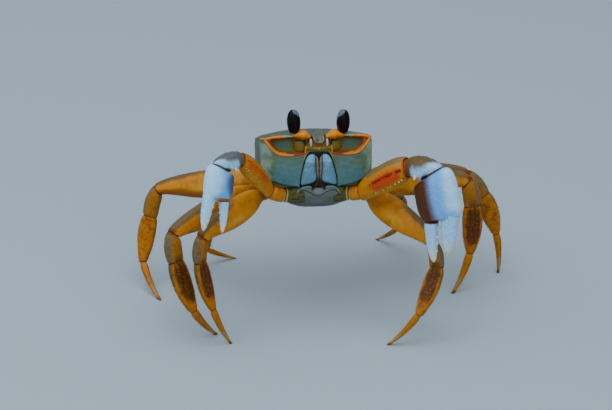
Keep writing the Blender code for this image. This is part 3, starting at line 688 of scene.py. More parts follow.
carapace_masks = {
    "back": np.maximum(fade(z, 5.2, 7.0) * (1 - front * fade(orbit, -0.9, -0.2)), rear_slope),
    "pale_top": bump(wide, 4.5, 3.0) * fade(z, 6.4, 7.4) * fade(-y, 8.0, 15.0),
    # Partly painted shade: the olive on the eye hollow's wall is its own dark olive, and it also stands for
    # the shade under the hollow's upper edge.
    "olive": front * fade(orbit, 0.15, 0.6),
    "cave": front * fade(orbit, 0.9, 2.6) * fade(wide, 7.8, 10.2) * fade(16.8 - wide, 0.0, 2.8),
    "gold": front * np.maximum(beside_brow, over_bar),
    "orange": front * np.maximum(outer_corner, bump(orbit, 0.25, 0.45) * fade(wide, 9.0, 12.0)),
    "red_line": front * bump(orbit, -0.05, 0.5) * fade(4.0 - z, 0.0, 1.5) * fade(11.0 - wide, 0.0, 3.0),
    "blush": 0.25 * front * below_hollow * fade(15.0 - wide, 0.0, 3.0),
    "teal": fade(-z, -4.0, 9.0) * front * fade(18.0 - wide, 0.0, 4.5),
    "flank": 0.85 * fade(wide, 13.5, 19.5) * off_top,
    "flank_back": fade(out_share, 0.88, 1.0) * off_top * fade(y, -15.5, -9.0),
    "dark": np.maximum(mouth_shade, cheek_shade),
    "under": front * fade(under_cheek, 0.5, 1.0),
}
# Chitin heavy with lime, grown in thin layers under a waxy skin. It looks dull, hard and finely grained, with
# its grey, green and teal in soft clouds, and orange where the hollows' corners are worn.
carapace_finish = shell_finish(
    "calcified_back_and_cheeks",
    ("#425A4A", "#50684E"),
    [
        ("teal", "#3E6A6E", 1.2),
        ("flank", "#7A957F", 1.2),
        ("flank_back", "#4A5244", 0.6),
        ("back", "#464838", 0.35),
        ("pale_top", "#40586A", 0.5),
        ("blush", "#6E5A2E", 1.2),
        ("olive", "#5A4602", 0.5),
        # The olive layer is partly painted shade on the eye hollow's wall.
        ("cave", "#3A5E48", 0.4),
        ("gold", "#7A5802", 0.5),
        ("orange", "#DC7C02", 0.5),
        ("red_line", "#8E2602", 0.4),
        # The dark layer is painted shade, in the mouth's hollow and under the cheek's edge.
        ("dark", "#1A1408", 0.2),
        ("under", "#7A6412", 0.6),
    ],
    freckle=("#2A362C", 1.3, 0.45),
    mottle=("#33473C", 4.5, 0.4),
    grain=0.35,
    shine=0.25,
)
lay("carapace_plate", body, carapace_finish, "carapace", "carapace", masks=carapace_masks, in_body=True)
print("the carapace has", len(carapace_masks), "masks for its colours")

# %% [markdown]
# The margin of each eye hollow is a raised, beaded lip, bright orange toward the corner and pale above the
# eye. It is a tube carried along the same outline. Beads are a ripple on the tube's radius. A finer crest of
# the same kind runs back along each side of the shell.
# %% Tubes
ON_FACE_Y = -11.0
flat_front = np.stack([body[..., 0], body[..., 2], flat_y], -1).reshape(-1, 3)
flat_front = flat_front[flat_front[:, 2] < ON_FACE_Y]


def on_front(outline):
    """Where points of an outline lie on the face before it was pressed: the y of the nearest grid point."""
    near = ((outline[:, None] - flat_front[None, :, :2]) ** 2).sum(-1).argmin(1)
    return flat_front[near, 2]


def tube(path, radius, looped=False, flat=1.0, lift=(0, 0, 1)):
    """A tube along a path: circles of the given radius square to the path's own tangent."""
    count = len(path)
    if looped:
        tangent = unit(np.roll(path, -1, 0) - np.roll(path, 1, 0))
    else:
        tangent = unit(np.gradient(path, axis=0))
    side = unit(np.cross(tangent, np.broadcast_to(np.asarray(lift, float), (count, 3))))
    up = np.cross(side, tangent)
    angle = np.linspace(0, 2 * math.pi, TUBE_COLUMNS, endpoint=False)
    radius = np.broadcast_to(np.asarray(radius, float).reshape(-1, 1, 1), (count, 1, 1))
    around = np.cos(angle)[None, :, None] * side[:, None] + flat * np.sin(angle)[None, :, None] * up[:, None]
    return path[:, None] + radius * around


def even(path, count, looped=False):
    """The path's points spaced evenly along it."""
    ends = np.concatenate([path, path[:1]]) if looped else path
    travel = travelled(ends)
    steps = np.linspace(0, travel[-1], count, endpoint=not looped)
    return np.stack([np.interp(steps, travel, ends[:, axis]) for axis in range(ends.shape[1])], -1)


def rounded(count, sharpness):
    """One along a path and rounded off at both ends: the root of one less the distance to a power."""
    return np.sqrt(np.clip(1 - np.abs(np.linspace(-1, 1, count)) ** sharpness, 0.02, 1))


TUBE_COLUMNS = 12
print("the face before the press has", len(flat_front), "points")

# %% Margins of the eye hollows
MARGIN_ROWS = 300
SMOOTHING_PASSES = 8
CREST_ROWS = 120
CREST_ENDS_Y = (-15.6, 4.0)
# Thicker chitin, rubbed smooth by the stalks that fold against it, so its orange is cleaner and glossier.
margin_finish = shell_finish(
    "orange_margin",
    ("#EC8802", "#C85E02"),
    [("pale_margin", "#86A48E", 0.4), ("red_line", "#962802", 0.4), ("brown", "#4A4430", 0.3)],
    rough=0.4,
    grain=0.15,
)


def orbit_margin(name, side):
    """The lip round an eye hollow: its radius ripples by the size of a sine and swells at the corner."""
    outline = even(orbit_outline(side), MARGIN_ROWS, looped=True)
    path = np.stack([outline[:, 0], on_front(outline), outline[:, 1]], -1)
    for _ in range(SMOOTHING_PASSES):
        path[:, 1] = (np.roll(path[:, 1], 1) + 2 * path[:, 1] + np.roll(path[:, 1], -1)) / 4
    wide_at, height = np.abs(path[:, 0]), path[:, 2]
    beads = 0.27 + 0.04 * np.abs(np.sin(np.arange(MARGIN_ROWS) * math.pi / 3.2))
    beads *= (0.55 + 0.45 * fade(wide_at, 4.2, 9.0)) * (1 + 0.45 * fade(wide_at, 15.5, 18.0))
    beads *= 1 + 0.45 * fade(height, 5.6, 6.6) * bump(wide_at, 13.8, 3.2)
    masks = {
        "pale_margin": (fade(height, 6.0, 6.5) * fade(13.5 - wide_at, 0.0, 2.5))[:, None],
        "red_line": (fade(5.0 - height, 0.0, 1.0) * fade(10.0 - wide_at, 0.0, 2.5))[:, None],
        "brown": (fade(4.8 - wide_at, 0.0, 0.6))[:, None],
    }
    rings = tube(path, beads, lift=(0, 1, 0), looped=True)
    lay(f"orbit_margin_{name}", rings, margin_finish, "carapace", masks=masks, in_body=True, looped=True)
    return beads


def side_crest(name, side):
    """The crest along one side: a rippled tube that thins away toward the tail."""
    crest_y = np.linspace(*CREST_ENDS_Y, CREST_ROWS)
    half = flowing(crest_y, STATIONS[:, 0], STATIONS[:, 1]) * HALF
    top = flowing(crest_y, STATIONS[:, 0], STATIONS[:, 2] - STATIONS[:, 3])
    path = np.stack([side * half * 0.98, crest_y, top - 0.75], -1)
    ripple = 0.06 * np.abs(np.sin(np.arange(CREST_ROWS) * math.pi / 3))
    radius = (0.30 + ripple) * fade(4.5 - crest_y, 0.0, 8.0) * fade(crest_y, -16.0, -15.0)
    masks = {"brown": fade(crest_y, -14.0, -9.0)[:, None]}
    lay(f"side_crest_{name}", tube(path, radius + 0.02), margin_finish, "carapace", masks=masks, in_body=True)


for name, side in SIDES.items():
    beads = orbit_margin(name, side)
    side_crest(name, side)
print("margins are", round(float(beads.max() * 2), 2), "mm thick at most")

# %% [markdown]
# ## Rings along a path
# Everything round on a crab, from a leg to an eyestalk, is a row of ovals along a path. An oval here is a
# superellipse: its width goes as the cosine and its height as the sine, each to a power under one, which
# fills out the corners. The back and the belly side may differ in height. Relief is added along each point's
# own way out.
# %% Ovals


def ovals(centre, normal, side_axis, back, belly, half, columns=56, squareness=2.4):
    """Rings [row, column, xyz] of superellipses, square to `normal`, and each point's way outward."""
    side_axis = np.broadcast_to(np.asarray(side_axis, float), centre.shape)
    across = unit(side_axis - normal * (side_axis * normal).sum(-1, keepdims=True))
    up = np.cross(normal, across)
    angle = np.linspace(0, 2 * math.pi, columns, endpoint=False)
    cos, sin = np.cos(angle), np.sin(angle)
    sizes = (back, belly, half)
    back, belly, half = (np.broadcast_to(np.asarray(size, float), len(centre))[:, None] for size in sizes)
    out = power(cos, 2 / squareness) * half
    rise = power(sin, 2 / squareness) * np.where(sin > 0, back, belly)
    rings = centre[:, None] + across[:, None] * out[..., None] + up[:, None] * rise[..., None]
    ways = unit(across[:, None] * cos[:, None] + up[:, None] * sin[:, None])
    return rings, ways


def along_path(path, side_axis, high, half, columns, squareness):
    """Ovals as high on the belly as on the back, square to the path's own tangent."""
    return ovals(path, unit(np.gradient(path, axis=0)), side_axis, high, high, half, columns, squareness)


CUP_SIZES = np.array([0.3, 0.62, 0.84, 0.95])
CUP_DEPTHS = np.array([0.7, 0.6, 0.4, 0.12])
print("the hollow in the end of a limb piece is", CUP_DEPTHS[0], "mm deep")

# %% Limb pieces
ROUNDED_END = 0.4
SKIN_REACH = 1.2


def limb(
    start, end, start_normal, end_normal, side_axis, profile, depth,
    bow=0.0, half_size=None, rows=96, columns=56,
):
    """The solids' limb formula on a fine grid: rings, ways out and facts.

    Ovals by the profile stand on a bowed line, turn from the first plane to the last, and shallow cups
    close both ends.
    """
    first = start + start_normal * GAP / 2
    last = end - end_normal * GAP / 2
    axis = unit(last - first)
    length = np.linalg.norm(last - first)
    back_way = unit(np.cross(axis, side_axis))
    cup = CUP_DEPTHS / length
    along = np.concatenate([cup, np.linspace(0, 1, rows), 1 - cup[::-1]])
    size = np.concatenate([CUP_SIZES, np.ones(rows), CUP_SIZES[::-1]])
    profile = np.asarray(profile, float)
    back, belly, half = flowing(along, profile[:, 0], profile[:, 1:]).T
    from_end = np.minimum(along, 1 - along) * length
    size *= 1 - 0.06 * np.clip(1 - from_end / ROUNDED_END, 0, 1) ** 2
    column = along[:, None]
    centre = first + (last - first) * column + back_way * 4 * bow * length * column * (1 - column)
    tangent = unit(axis + back_way * 4 * bow * (1 - 2 * column))
    near_start = np.clip(1 - column / 0.3, 0, 1)
    near_end = np.clip(1 - (1 - column) / 0.3, 0, 1)
    normal = unit(start_normal * near_start + end_normal * near_end + tangent * (1 - near_start - near_end))
    stretch = depth * size / np.maximum(0.75, (normal * tangent).sum(-1))
    half = half * size * (half_size or depth)
    rings, ways = ovals(centre, normal, side_axis, back * stretch, belly * stretch, half, columns)
    angle = np.linspace(0, 2 * math.pi, columns, endpoint=False)[None]
    facts = {
        "along": along[:, None],
        "mm": (along * length)[:, None],
        "angle": angle,
        "back": np.sin(angle),
        "side": np.cos(angle),
        "skin": fade(from_end, 0.0, SKIN_REACH)[:, None],
        "length": length,
    }
    return rings, ways, facts


def cones(name, roots, ways, radius, height, sides=6, levels=((0.0, 1.0), (0.45, 0.8), (0.8, 0.42))):
    """Many small cones as one mesh: rings of (height, width) shares round each root, and a tip on each."""
    count = len(roots)
    ways = unit(np.broadcast_to(np.asarray(ways, float), (count, 3)))
    aside = unit(np.cross(ways, np.where(np.abs(ways[:, 2:]) < 0.9, (0.0, 0.0, 1.0), (1.0, 0.0, 0.0))))
    other = np.cross(ways, aside)
    sizes = (radius, height)
    radius, height = (np.broadcast_to(np.asarray(size, float), count)[:, None, None] for size in sizes)
    angle = np.linspace(0, 2 * math.pi, sides, endpoint=False)[None, :, None]
    circle = np.cos(angle) * aside[:, None] + np.sin(angle) * other[:, None]
    stack = [roots[:, None] + circle * radius * wide + ways[:, None] * height * high for high, wide in levels]
    tip = roots[:, None] + ways[:, None] * height
    points = np.concatenate([*stack, tip], 1)
    each = points.shape[1]
    start = (np.arange(count) * each)[:, None]
    ring = np.arange(sides)
    after = np.roll(ring, -1)
    level = np.arange(len(levels) - 1)[:, None] * sides
    quads = np.stack([level + ring, level + after, level + after + sides, level + ring + sides], -1)
    quads = (start[:, None] + quads.reshape(-1, 4)[None]).reshape(-1, 4)
    last = (len(levels) - 1) * sides
    fan = np.stack([ring + last, after + last, np.full(sides, each - 1)], -1)
    fan = (start[:, None] + fan[None]).reshape(-1, 3)
    floors = (start + ring[::-1][None]).reshape(-1, sides)
    return mesh_of(name, points.reshape(-1, 3), [quads, fan, floors])


def knob(name, centre, normal, side_axis, high, half, reach, slot):
    """Soft skin in a joint: an ellipsoid whose ovals shrink as the cosine from its middle to both ends."""
    angle = np.linspace(-KNOB_ANGLE, KNOB_ANGLE, KNOB_ROWS)
    path = centre + normal * (np.sin(angle) * reach)[:, None]
    size = np.cos(angle) ** 0.8
    normals = np.broadcast_to(normal, path.shape)
    rings, _ = ovals(path, normals, side_axis, high * size, high * size, half * size, KNOB_COLUMNS)
    return lay(name, rings, skin_finish, slot)


KNOB_ANGLE = 1.45
KNOB_ROWS = 18
KNOB_COLUMNS = 28
# Uncalcified chitin, folded and leathery, which bends in the joints. It looks dull and darker than the shell.
skin_finish = shell_finish("joint_skin", ("#83480C", "#663408"), rough=0.55, grain_mm=0.3, shine=0.2)
print("soft skin reaches", SKIN_REACH, "mm into a piece before its relief starts")

# %% [markdown]
# ## Walking legs
# Each leg shows four pieces. The merus is flat and deep with a rasped back edge, the carpus is the short
# knee, the propodus is a flat shin, dark and streaked down its middle on the first two legs, and the dactyl
# is a fluted spike that stands on its tip. The amber shell is greyer on its back. Short bristles stand in
# rows on shin and spike.
# %% Leg profiles
# Each row: how far along, then the height of back and belly and the half width as shares of the depth.
MERUS = (
    (0.0, 0.22, 0.20, 0.18),
    (0.07, 0.27, 0.23, 0.21),
    (0.14, 0.25, 0.21, 0.20),
    (0.25, 0.40, 0.40, 0.24),
    (0.42, 0.48, 0.52, 0.25),
    (0.62, 0.45, 0.48, 0.25),
    (0.82, 0.37, 0.33, 0.24),
    (0.94, 0.27, 0.23, 0.21),
    (1.0, 0.18, 0.20, 0.19),
)
CARPUS = (
    (0.0, 0.27, 0.34, 0.28),
    (0.2, 0.41, 0.38, 0.33),
    (0.5, 0.48, 0.40, 0.34),
    (0.8, 0.46, 0.41, 0.31),
    (1.0, 0.42, 0.40, 0.28),
)
PROPODUS = (
    (0.0, 0.42, 0.40, 0.27),
    (0.12, 0.48, 0.46, 0.29),
    (0.38, 0.51, 0.49, 0.29),
    (0.65, 0.44, 0.43, 0.27),
    (0.86, 0.31, 0.29, 0.23),
    (1.0, 0.22, 0.20, 0.18),
)
DACTYL = (
    (0.0, 0.19, 0.18, 0.16),
    (0.08, 0.21, 0.19, 0.17),
    (0.35, 0.18, 0.16, 0.14),
    (0.7, 0.12, 0.11, 0.11),
    (0.93, 0.085, 0.08, 0.08),
    (1.0, 0.075, 0.075, 0.075),
)
# How dark the middle of the shin is for each leg, and how strongly painted shade darkens the lower half of
# each leg's thigh.
SHIN_DARKNESS = {1: 0.95, 2: 0.95, 3: 0.3, 4: 0.5}
THIGH_UNDERSIDE_SHADE = {1: 0.2, 2: 0.45, 3: 0.95, 4: 0.6}
print("the deepest part of a thigh is", MERUS[4][1] + MERUS[4][2], "of its depth")

# %% Leg finishes
# Thin chitin tanned amber by the animal itself. Light sinks in a little, so it looks warm, and its pigment
# cells show as brown freckles.
merus_finish = shell_finish(
    "amber_thigh_shell",
    ("#CC8604", "#B87202"),
    [
        # This layer is painted shade on the lower side of the thigh.
        ("underside_shade", "#8C4E02", 0.8),
        ("dorsal", "#665230", 0.9),
        ("root", "#9A5E06", 0.4),
        ("knee", "#6E2A04", 0.5),
        ("pale", "#D8A024", 0.5),
    ],
    rough=0.45,
    freckle=("#6E3E02", 0.9, 0.5),
    mottle=("#805408", 3.0, 0.35),
    shine=0.2,
)
# The same chitin, thicker where the knee takes the load, so browner, with pale freckles.
carpus_finish = shell_finish(
    "brown_knee_shell",
    ("#A86A04", "#8A5604"),
    [("dorsal", "#6A5A3C", 1.1), ("knee", "#6E2A04", 0.5), ("dark", "#5A3606", 1.0)],
    freckle=("#C0A468", 0.9, 0.4),
    mottle=("#5E3C08", 1.8, 0.4),
    shine=0.2,
)
# Chitin scoured by walking: its dark pigment lies in streaks between paler edges, and it hardly shines.
propodus_finish = shell_finish(
    "dark_shin_shell",
    ("#B46E02", "#985802"),
    [("dark", "#5A2E02", 1.1), ("streak", "#3E2202", 0.9), ("dorsal", "#6A5422", 0.6)],
    freckle=("#C89A50", 0.9, 0.4),
    mottle=("#52300A", 1.5, 0.35),
    shine=0.14,
)
# Dense chitin without much lime, worn smooth by the ground: fine grained, paler low down, brown at the tip.
dactyl_finish = shell_finish(
    "ridged_spike_shell",
    ("#BC7604", "#A06004"),
    [("pale", "#AA8848", 0.6), ("tip", "#6E3A22", 0.3)],
    rough=0.45,
    grain=0.15,
    mottle=("#6E4606", 1.4, 0.35),
    shine=0.2,
)
# Horny bristles grown through pores of the shell, stiff and dull. Drawn several times as thick as real ones.
bristle_finish = shell_finish("stiff_bristle", ("#5A3A18", "#3E2610"), rough=0.6, shine=0.2)
print("a leg has", len([merus_finish, carpus_finish, propodus_finish, dactyl_finish]), "kinds of shell")

# %% Thighs and knees


def thigh(label, number, ends, planes, side_axis, depth):
    """The merus: its edges are rasped by the size of a sine of the length, and fine ridges cross its back."""
    rings, ways, facts = limb(*ends, *planes, side_axis, MERUS, depth, 0.02, rows=150, columns=64)
    along, back, mm = facts["along"], facts["back"], facts["mm"]
    rasp = bump(back, 1.0, 0.22) * 0.16 * np.abs(np.sin(mm * math.pi / 0.85))
    rasp = rasp + bump(back, -1.0, 0.16) * 0.10 * np.abs(np.sin(mm * math.pi / 1.1 + 0.8))
    wave = mm * math.pi / 0.95 + np.sin(facts["angle"] * 3 + mm * 0.7)
    striae = 0.045 * np.maximum(0, np.sin(wave)) * fade(back, 0.1, 0.7)
    neck = -0.12 * bump(along, 0.12, 0.02)
    masks = {
        "dorsal": fade(back, 0.1, 0.9) * fade(along, 0.3, 0.75),
        "root": fade(0.24 - along, 0.0, 0.12),
        "knee": 0.9 * fade(along, 0.93, 0.99) * fade(back, -0.2, 0.8),
        # Painted shade: the thigh's lower side is darkened, more on some legs than on others.
        "underside_shade": THIGH_UNDERSIDE_SHADE[number] * fade(0.25 - back, 0.0, 0.9),
        "pale": 0.6 * bump(back, -0.3, 0.35) * bump(along, 0.55, 0.2),
    }
    rings = raised(rings, ways, (rasp + striae + neck) * facts["skin"])
    lay(f"{label}_thigh", rings, merus_finish, "merus", f"{label}_merus", masks=masks)


def knee(label, number, ends, planes, side_axis, depth):
    """The carpus: two low ridges flank its back, which is toothed by the size of a sine of the length."""
    rings, ways, facts = limb(*ends, *planes, side_axis, CARPUS, depth, 0.03, rows=60)
    along, back, mm = facts["along"], facts["back"], facts["mm"]
    ridges = 0.10 * bump(np.abs(facts["side"]), 0.55, 0.12) * fade(back, 0.0, 0.3) * fade(along, 0.1, 0.3)
    teeth = bump(back, 1.0, 0.2) * 0.08 * np.abs(np.sin(mm * math.pi / 0.8))
    masks = {
        "dorsal": fade(back, 0.0, 1.0),
        "knee": 0.9 * fade(0.12 - along, 0.0, 0.1) * fade(back, 0.0, 0.8),
        "dark": SHIN_DARKNESS[number] * fade(0.9 - np.abs(back), 0.0, 0.8) * fade(along, 0.35, 1.1),
    }
    rings = raised(rings, ways, (ridges + teeth) * facts["skin"])
    lay(f"{label}_knee", rings, carpus_finish, "carpus", f"{label}_carpus", masks=masks)


print("the darkest shins are those with a darkness of", max(SHIN_DARKNESS.values()))

# %% Shins, spikes and bristles
rng = np.random.default_rng(11)
BRISTLE_RADIUS = 0.07
# Where round a piece its rows of bristles stand, as shares of half a turn.
SHIN_ROWS = (0.5, 0.44, 0.56, 1.5, 1.44, 1.56)
SPIKE_ROWS = (0.17, 0.5, 0.83, 1.17, 1.5, 1.83)


def bristle_rows(name, rings, ways, facts, shares, spacing, reach, start=0.1, end=0.95):
    """Bristles in rows at the given shares of half a turn round a piece, each leaning toward its end."""
    rows_at = np.arange(start * facts["length"], end * facts["length"], spacing)
    inner = slice(len(CUP_DEPTHS), -len(CUP_DEPTHS))
    mm = facts["mm"][inner, 0]
    columns = rings.shape[1]
    roots, outs = [], []
    for share in shares:
        column = int(round(share / 2 * columns)) % columns
        path = rings[inner, column]
        out = ways[inner, column]
        jitter = rows_at + rng.uniform(-0.3, 0.3, len(rows_at)) * spacing
        at = np.stack([np.interp(jitter, mm, path[:, axis]) for axis in range(3)], -1)
        way = np.stack([np.interp(jitter, mm, out[:, axis]) for axis in range(3)], -1)
        roots.append(at - way * 0.08)
        outs.append(unit(way + unit(path[-1] - path[0]) * 0.9 + rng.normal(0, 0.16, way.shape)))
    roots, outs = np.concatenate(roots), np.concatenate(outs)
    heights = reach * rng.uniform(0.6, 1.0, len(roots))
    piece = cones(name, carried(roots), outs, BRISTLE_RADIUS, heights, 4, ((0.0, 1.0), (0.5, 0.7)))
    settle(piece, bristle_finish, "propodus")


def shin(label, number, ends, planes, side_axis, depth):
    """The propodus: toothed edges, a groove down each side, and streaks that go as a sine round the piece."""
    rings, ways, facts = limb(*ends, *planes, side_axis, PROPODUS, depth, 0.025, rows=110)
    along, back, mm = facts["along"], facts["back"], facts["mm"]
    edges = bump(np.abs(back), 1.0, 0.2) * 0.09 * np.abs(np.sin(mm * math.pi / 0.9))
    groove = -0.14 * bump(np.abs(facts["side"]), 1.0, 0.10) * fade(along, 0.12, 0.25)
    groove = groove * fade(0.9 - along, 0.0, 0.1)
    lines = 0.5 + 0.5 * np.sin(facts["angle"] * 13 + 1.6 * np.sin(mm * 0.5))
    middle = fade(1.02 - np.abs(back), 0.0, 0.6) * fade(1.0 - along, 0.02, 0.4) * fade(along, -0.2, 0.2)
    inner = fade(0.95 - np.abs(back), 0.0, 0.5) * fade(0.9 - along, 0.0, 0.5)
    masks = {
        "dark": SHIN_DARKNESS[number] * middle,
        "streak": SHIN_DARKNESS[number] * 0.75 * lines * inner,
        "dorsal": 0.8 * fade(back, 0.6, 1.0) * fade(0.7 - along, 0.0, 0.5),
    }
    swollen = raised(rings, ways, (edges + groove) * facts["skin"])
    lay(f"{label}_shin", swollen, propodus_finish, "propodus", f"{label}_propodus", masks=masks)
    bristle_rows(f"{label}_shin_bristles", rings, ways, facts, SHIN_ROWS, 0.7, 0.9)


def spike(label, ends, planes, side_axis, depth):
    """The dactyl: six flutes that go as the cosine round it and run out at the tip."""
    rings, ways, facts = limb(*ends, *planes, side_axis, DACTYL, depth, 0.04, rows=100, columns=48)
    along = facts["along"]
    flutes = 0.10 * np.cos(facts["angle"] * 6) * fade(along, 0.05, 0.15) * fade(0.98 - along, 0.0, 0.35)
    masks = {"pale": bump(along, 0.72, 0.18) * 0.7, "tip": fade(along, 0.86, 0.97)}
    fluted = raised(rings, ways, flutes * facts["skin"])
    lay(f"{label}_spike", fluted, dactyl_finish, "dactyl", f"{label}_dactyl", masks=masks)
    bristle_rows(f"{label}_spike_bristles", rings, ways, facts, SPIKE_ROWS, 0.6, 0.7, 0.06, 0.8)


print("a shin has", len(SHIN_ROWS), "rows of bristles and so has a spike")

# %% Eight legs
# How large the skin in each joint of a leg is, as a share of the depth there: hip, knee, ankle and spike.
LEG_SKIN = (0.2, 0.19, 0.36, 0.18)
# It is kept a little smaller than that, so that none shows outside the shell.
SKIN_INSET = 0.95
for name, side in SIDES.items():
    for number, (*_, merus_depth, shin_depth) in LEGS.items():
        joints, planes = leg_joints(name, number)
        side_axis = unit(np.cross(joints[1] - joints[0], joints[4] - joints[1]))
        stand = joints[4] + planes[4] * GAP / 2
        joints[4] = np.array([stand[0], stand[1], -GAP / 2])
        label = f"leg{number}_{name}"
        thigh(label, number, joints[0:2], planes[0:2], side_axis, merus_depth)
        knee(label, number, joints[1:3], planes[1:3], side_axis, shin_depth)
        shin(label, number, joints[2:4], planes[2:4], side_axis, shin_depth)
        spike(label, joints[3:5], planes[3:5], side_axis, shin_depth)
        depths = (merus_depth, merus_depth, shin_depth, shin_depth)
        for place, (depth, share) in enumerate(zip(depths, LEG_SKIN)):
            high = depth * share * SKIN_INSET
            sizes = (high, high * 0.8, 1.0)
            knob(f"{label}_skin{place}", joints[place], planes[place], side_axis, *sizes, "carpus")
print("eight legs, the longest merus", max(row[0] for row in LEGS.values()), "mm")

# %% [markdown]
# ## Claws
# One claw is always larger. The arm is orange with a toothed red ridge along its front. The wrist carries a
# pale spine, and its shell goes from grey or brown to blue. The hand is milk white and shades over blue to a
# dark inner edge, which is slate on the small hand, and brown and ribbed on the large one. The hand is set
# with low round granules, on the real claw finer than they are drawn here. They are bumps of the grid
# itself: each point rises by its distance from the nearest of many scattered seeds.
# %% Claw profiles
# Rows as for the legs, but the hand's half width is a share of half its thickness.
ISCHIUM = (
    (0.0, 0.44, 0.44, 0.42),
    (0.3, 0.50, 0.48, 0.46),
    (0.75, 0.48, 0.44, 0.44),
    (1.0, 0.40, 0.38, 0.38),
)
ARM = (
    (0.0, 0.34, 0.30, 0.32),
    (0.06, 0.38, 0.34, 0.36),
    (0.3, 0.46, 0.48, 0.44),
    (0.6, 0.54, 0.56, 0.48),
    (0.88, 0.52, 0.50, 0.44),
    (1.0, 0.42, 0.38, 0.36),
)
WRIST = (
    (0.0, 0.36, 0.34, 0.34),
    (0.18, 0.50, 0.42, 0.44),
    (0.5, 0.58, 0.44, 0.50),
    (0.82, 0.54, 0.42, 0.46),
    (1.0, 0.40, 0.34, 0.36),
)
PALM = (
    (0.0, 0.26, 0.28, 0.32),
    (0.02, 0.33, 0.35, 0.52),
    (0.06, 0.40, 0.43, 0.70),
    (0.12, 0.45, 0.47, 0.84),
    (0.2, 0.48, 0.49, 0.93),
    (0.36, 0.50, 0.50, 1.0),
    (0.6, 0.50, 0.50, 1.0),
    (0.8, 0.50, 0.49, 0.94),
    (0.93, 0.47, 0.45, 0.84),
    (1.0, 0.44, 0.41, 0.76),
)
# How far along a finger, and its half width as a share of its width.
FINGER = np.array(
    [(0.0, 0.50), (0.12, 0.50), (0.35, 0.43), (0.6, 0.36), (0.82, 0.25), (0.95, 0.13), (1.0, 0.06)]
)
# Where the red ridge, its teeth and the pale spines run along the arm, in degrees above its foremost line.
RIDGE_AT = 8.0
TEETH_AT = 19.0
SPINES_AT = -24.0
RIDGE_SHARE = {"right": 0.7, "left": 1.0}
# Where across the hand its blue starts and is full, from -1 at the outer to 1 at the inner edge.
BLUE_REACH = {"right": (-0.8, 0.45), "left": (-1.3, -0.08)}
print("the hand is drawn from", len(PALM), "sections and a finger from", len(FINGER))

# %% Claw finishes
# Chitin tanned orange, with red pigment where the ridge rubs: warm and freckled, and fairly dull.
arm_finish = shell_finish(
    "orange_arm_shell",
    ("#C07E06", "#AE6A06"),
    [("top", "#75663C", 0.5), ("low", "#C48206", 0.3), ("ridge", "#BA3E02", 0.5), ("cream", "#C0A260", 0.2)],
    freckle=("#6E4606", 0.9, 0.5),
    mottle=("#8A5A0A", 2.4, 0.35),
    shine=0.22,
)
# Chitin with more lime toward the hand: brown and grey above, and chalky blue where the lime shows through.
wrist_finish = shell_finish(
    "blue_patched_wrist_shell",
    ("#604E28", "#5E441A"),
    [("grey", "#4C5C64", 0.6), ("blue", "#96C8EC", 0.6), ("red", "#B04C04", 0.3)],
    rough=0.4,
    freckle=("#3E4444", 1.0, 0.4),
    shine=0.25,
)
# The limiest shell of all, almost without pigment. Light scatters in it, so it looks like porcelain, milk
# white with a blue cast, under a thin smooth skin.
palm_finish = shell_finish(
    "milk_white_hand_shell",
    ("#BAE6FF", "#90D0FF"),
    [
        ("blue", "#62AAEE", 0.5),
        ("slate", "#3C5676", 0.3),
        ("violet", "#6A6A88", 0.3),
        ("brown", "#4E2C02", 0.3),
        ("rust", "#6E3A16", 0.2),
    ],
    rough=0.4,
    grain=0.12,
    coat=0.05,
    shine=0.2,
)
# The same limy shell, polished by feeding, so a little glossier, and cream toward the worn tips.
finger_finish = shell_finish(
    "milk_white_finger_shell",
    ("#AAE0FF", "#88CAFF"),
    [("blue", "#74B6EE", 0.4), ("cream", "#D8DCC4", 0.4), ("red", "#5E2A12", 0.15)],
    rough=0.36,
    grain=0.1,
    coat=0.1,
    shine=0.25,
)
# Solid limy knobs, ground down by use: white, smooth and without freckles.
tooth_finish = shell_finish("worn_tooth", ("#E6E6DC", "#D6D8D0"), rough=0.35, grain=0.1)
# Horny teeth full of red pigment, which darkens them toward brown.
ridge_finish = shell_finish("red_ridge_tooth", ("#A83402", "#7E2402"), rough=0.45, grain=0.1, shine=0.22)
# Clear horn over lime, which looks like ivory.
spine_finish = shell_finish("pale_spine", ("#D8CFA8", "#C2B284"), rough=0.4, grain=0.1)
print("there are", len(bpy.data.materials) - solids_colours, "finishes so far, with the floor's")

# %% Granules, fingers and teeth
FINGER_TEETH = 14
FINGER_ROWS = 110
# Where a finger's round tip starts, as a share of its length, and how long it is: a hair over what is left,
# so that the last ring keeps a width.
TIP_STARTS = 0.94
TIP_LENGTH = 0.0605
TIP_ROWS = 12


def granules(rings, spacing, radius, height, seed):
    """Round granules: height times one less the square of (distance to the nearest seed / radius)."""
    draw = np.random.default_rng(seed)
    points = rings.reshape(-1, 3)
    steps_along = np.linalg.norm(np.diff(rings, axis=0), axis=-1)[:, :, None]
    steps_round = np.linalg.norm(rings - np.roll(rings, 1, 1), axis=-1)[:-1, :, None]
    areas = steps_along * steps_round
    weights = np.append(areas.reshape(-1), np.zeros(rings.shape[1]))
    count = int(areas.sum() / spacing**2)
    chosen = points[draw.choice(len(points), count, False, weights / weights.sum())]
    nearest = np.full(len(points), np.inf)
    for part in np.array_split(chosen, max(1, count // 50)):
        nearest = np.minimum(nearest, ((points[:, None] - part[None]) ** 2).sum(-1).min(1))
    return (height * np.clip(1 - nearest / radius**2, 0, None)).reshape(rings.shape[:2])


def bowed(start, end, inward, curve, along):
    """A line that bows away from `inward`: straight, less 4 times curve times t times one less t."""
    length = np.linalg.norm(end - start)
    return start + (end - start) * along - inward * 4 * curve * length * along * (1 - along)


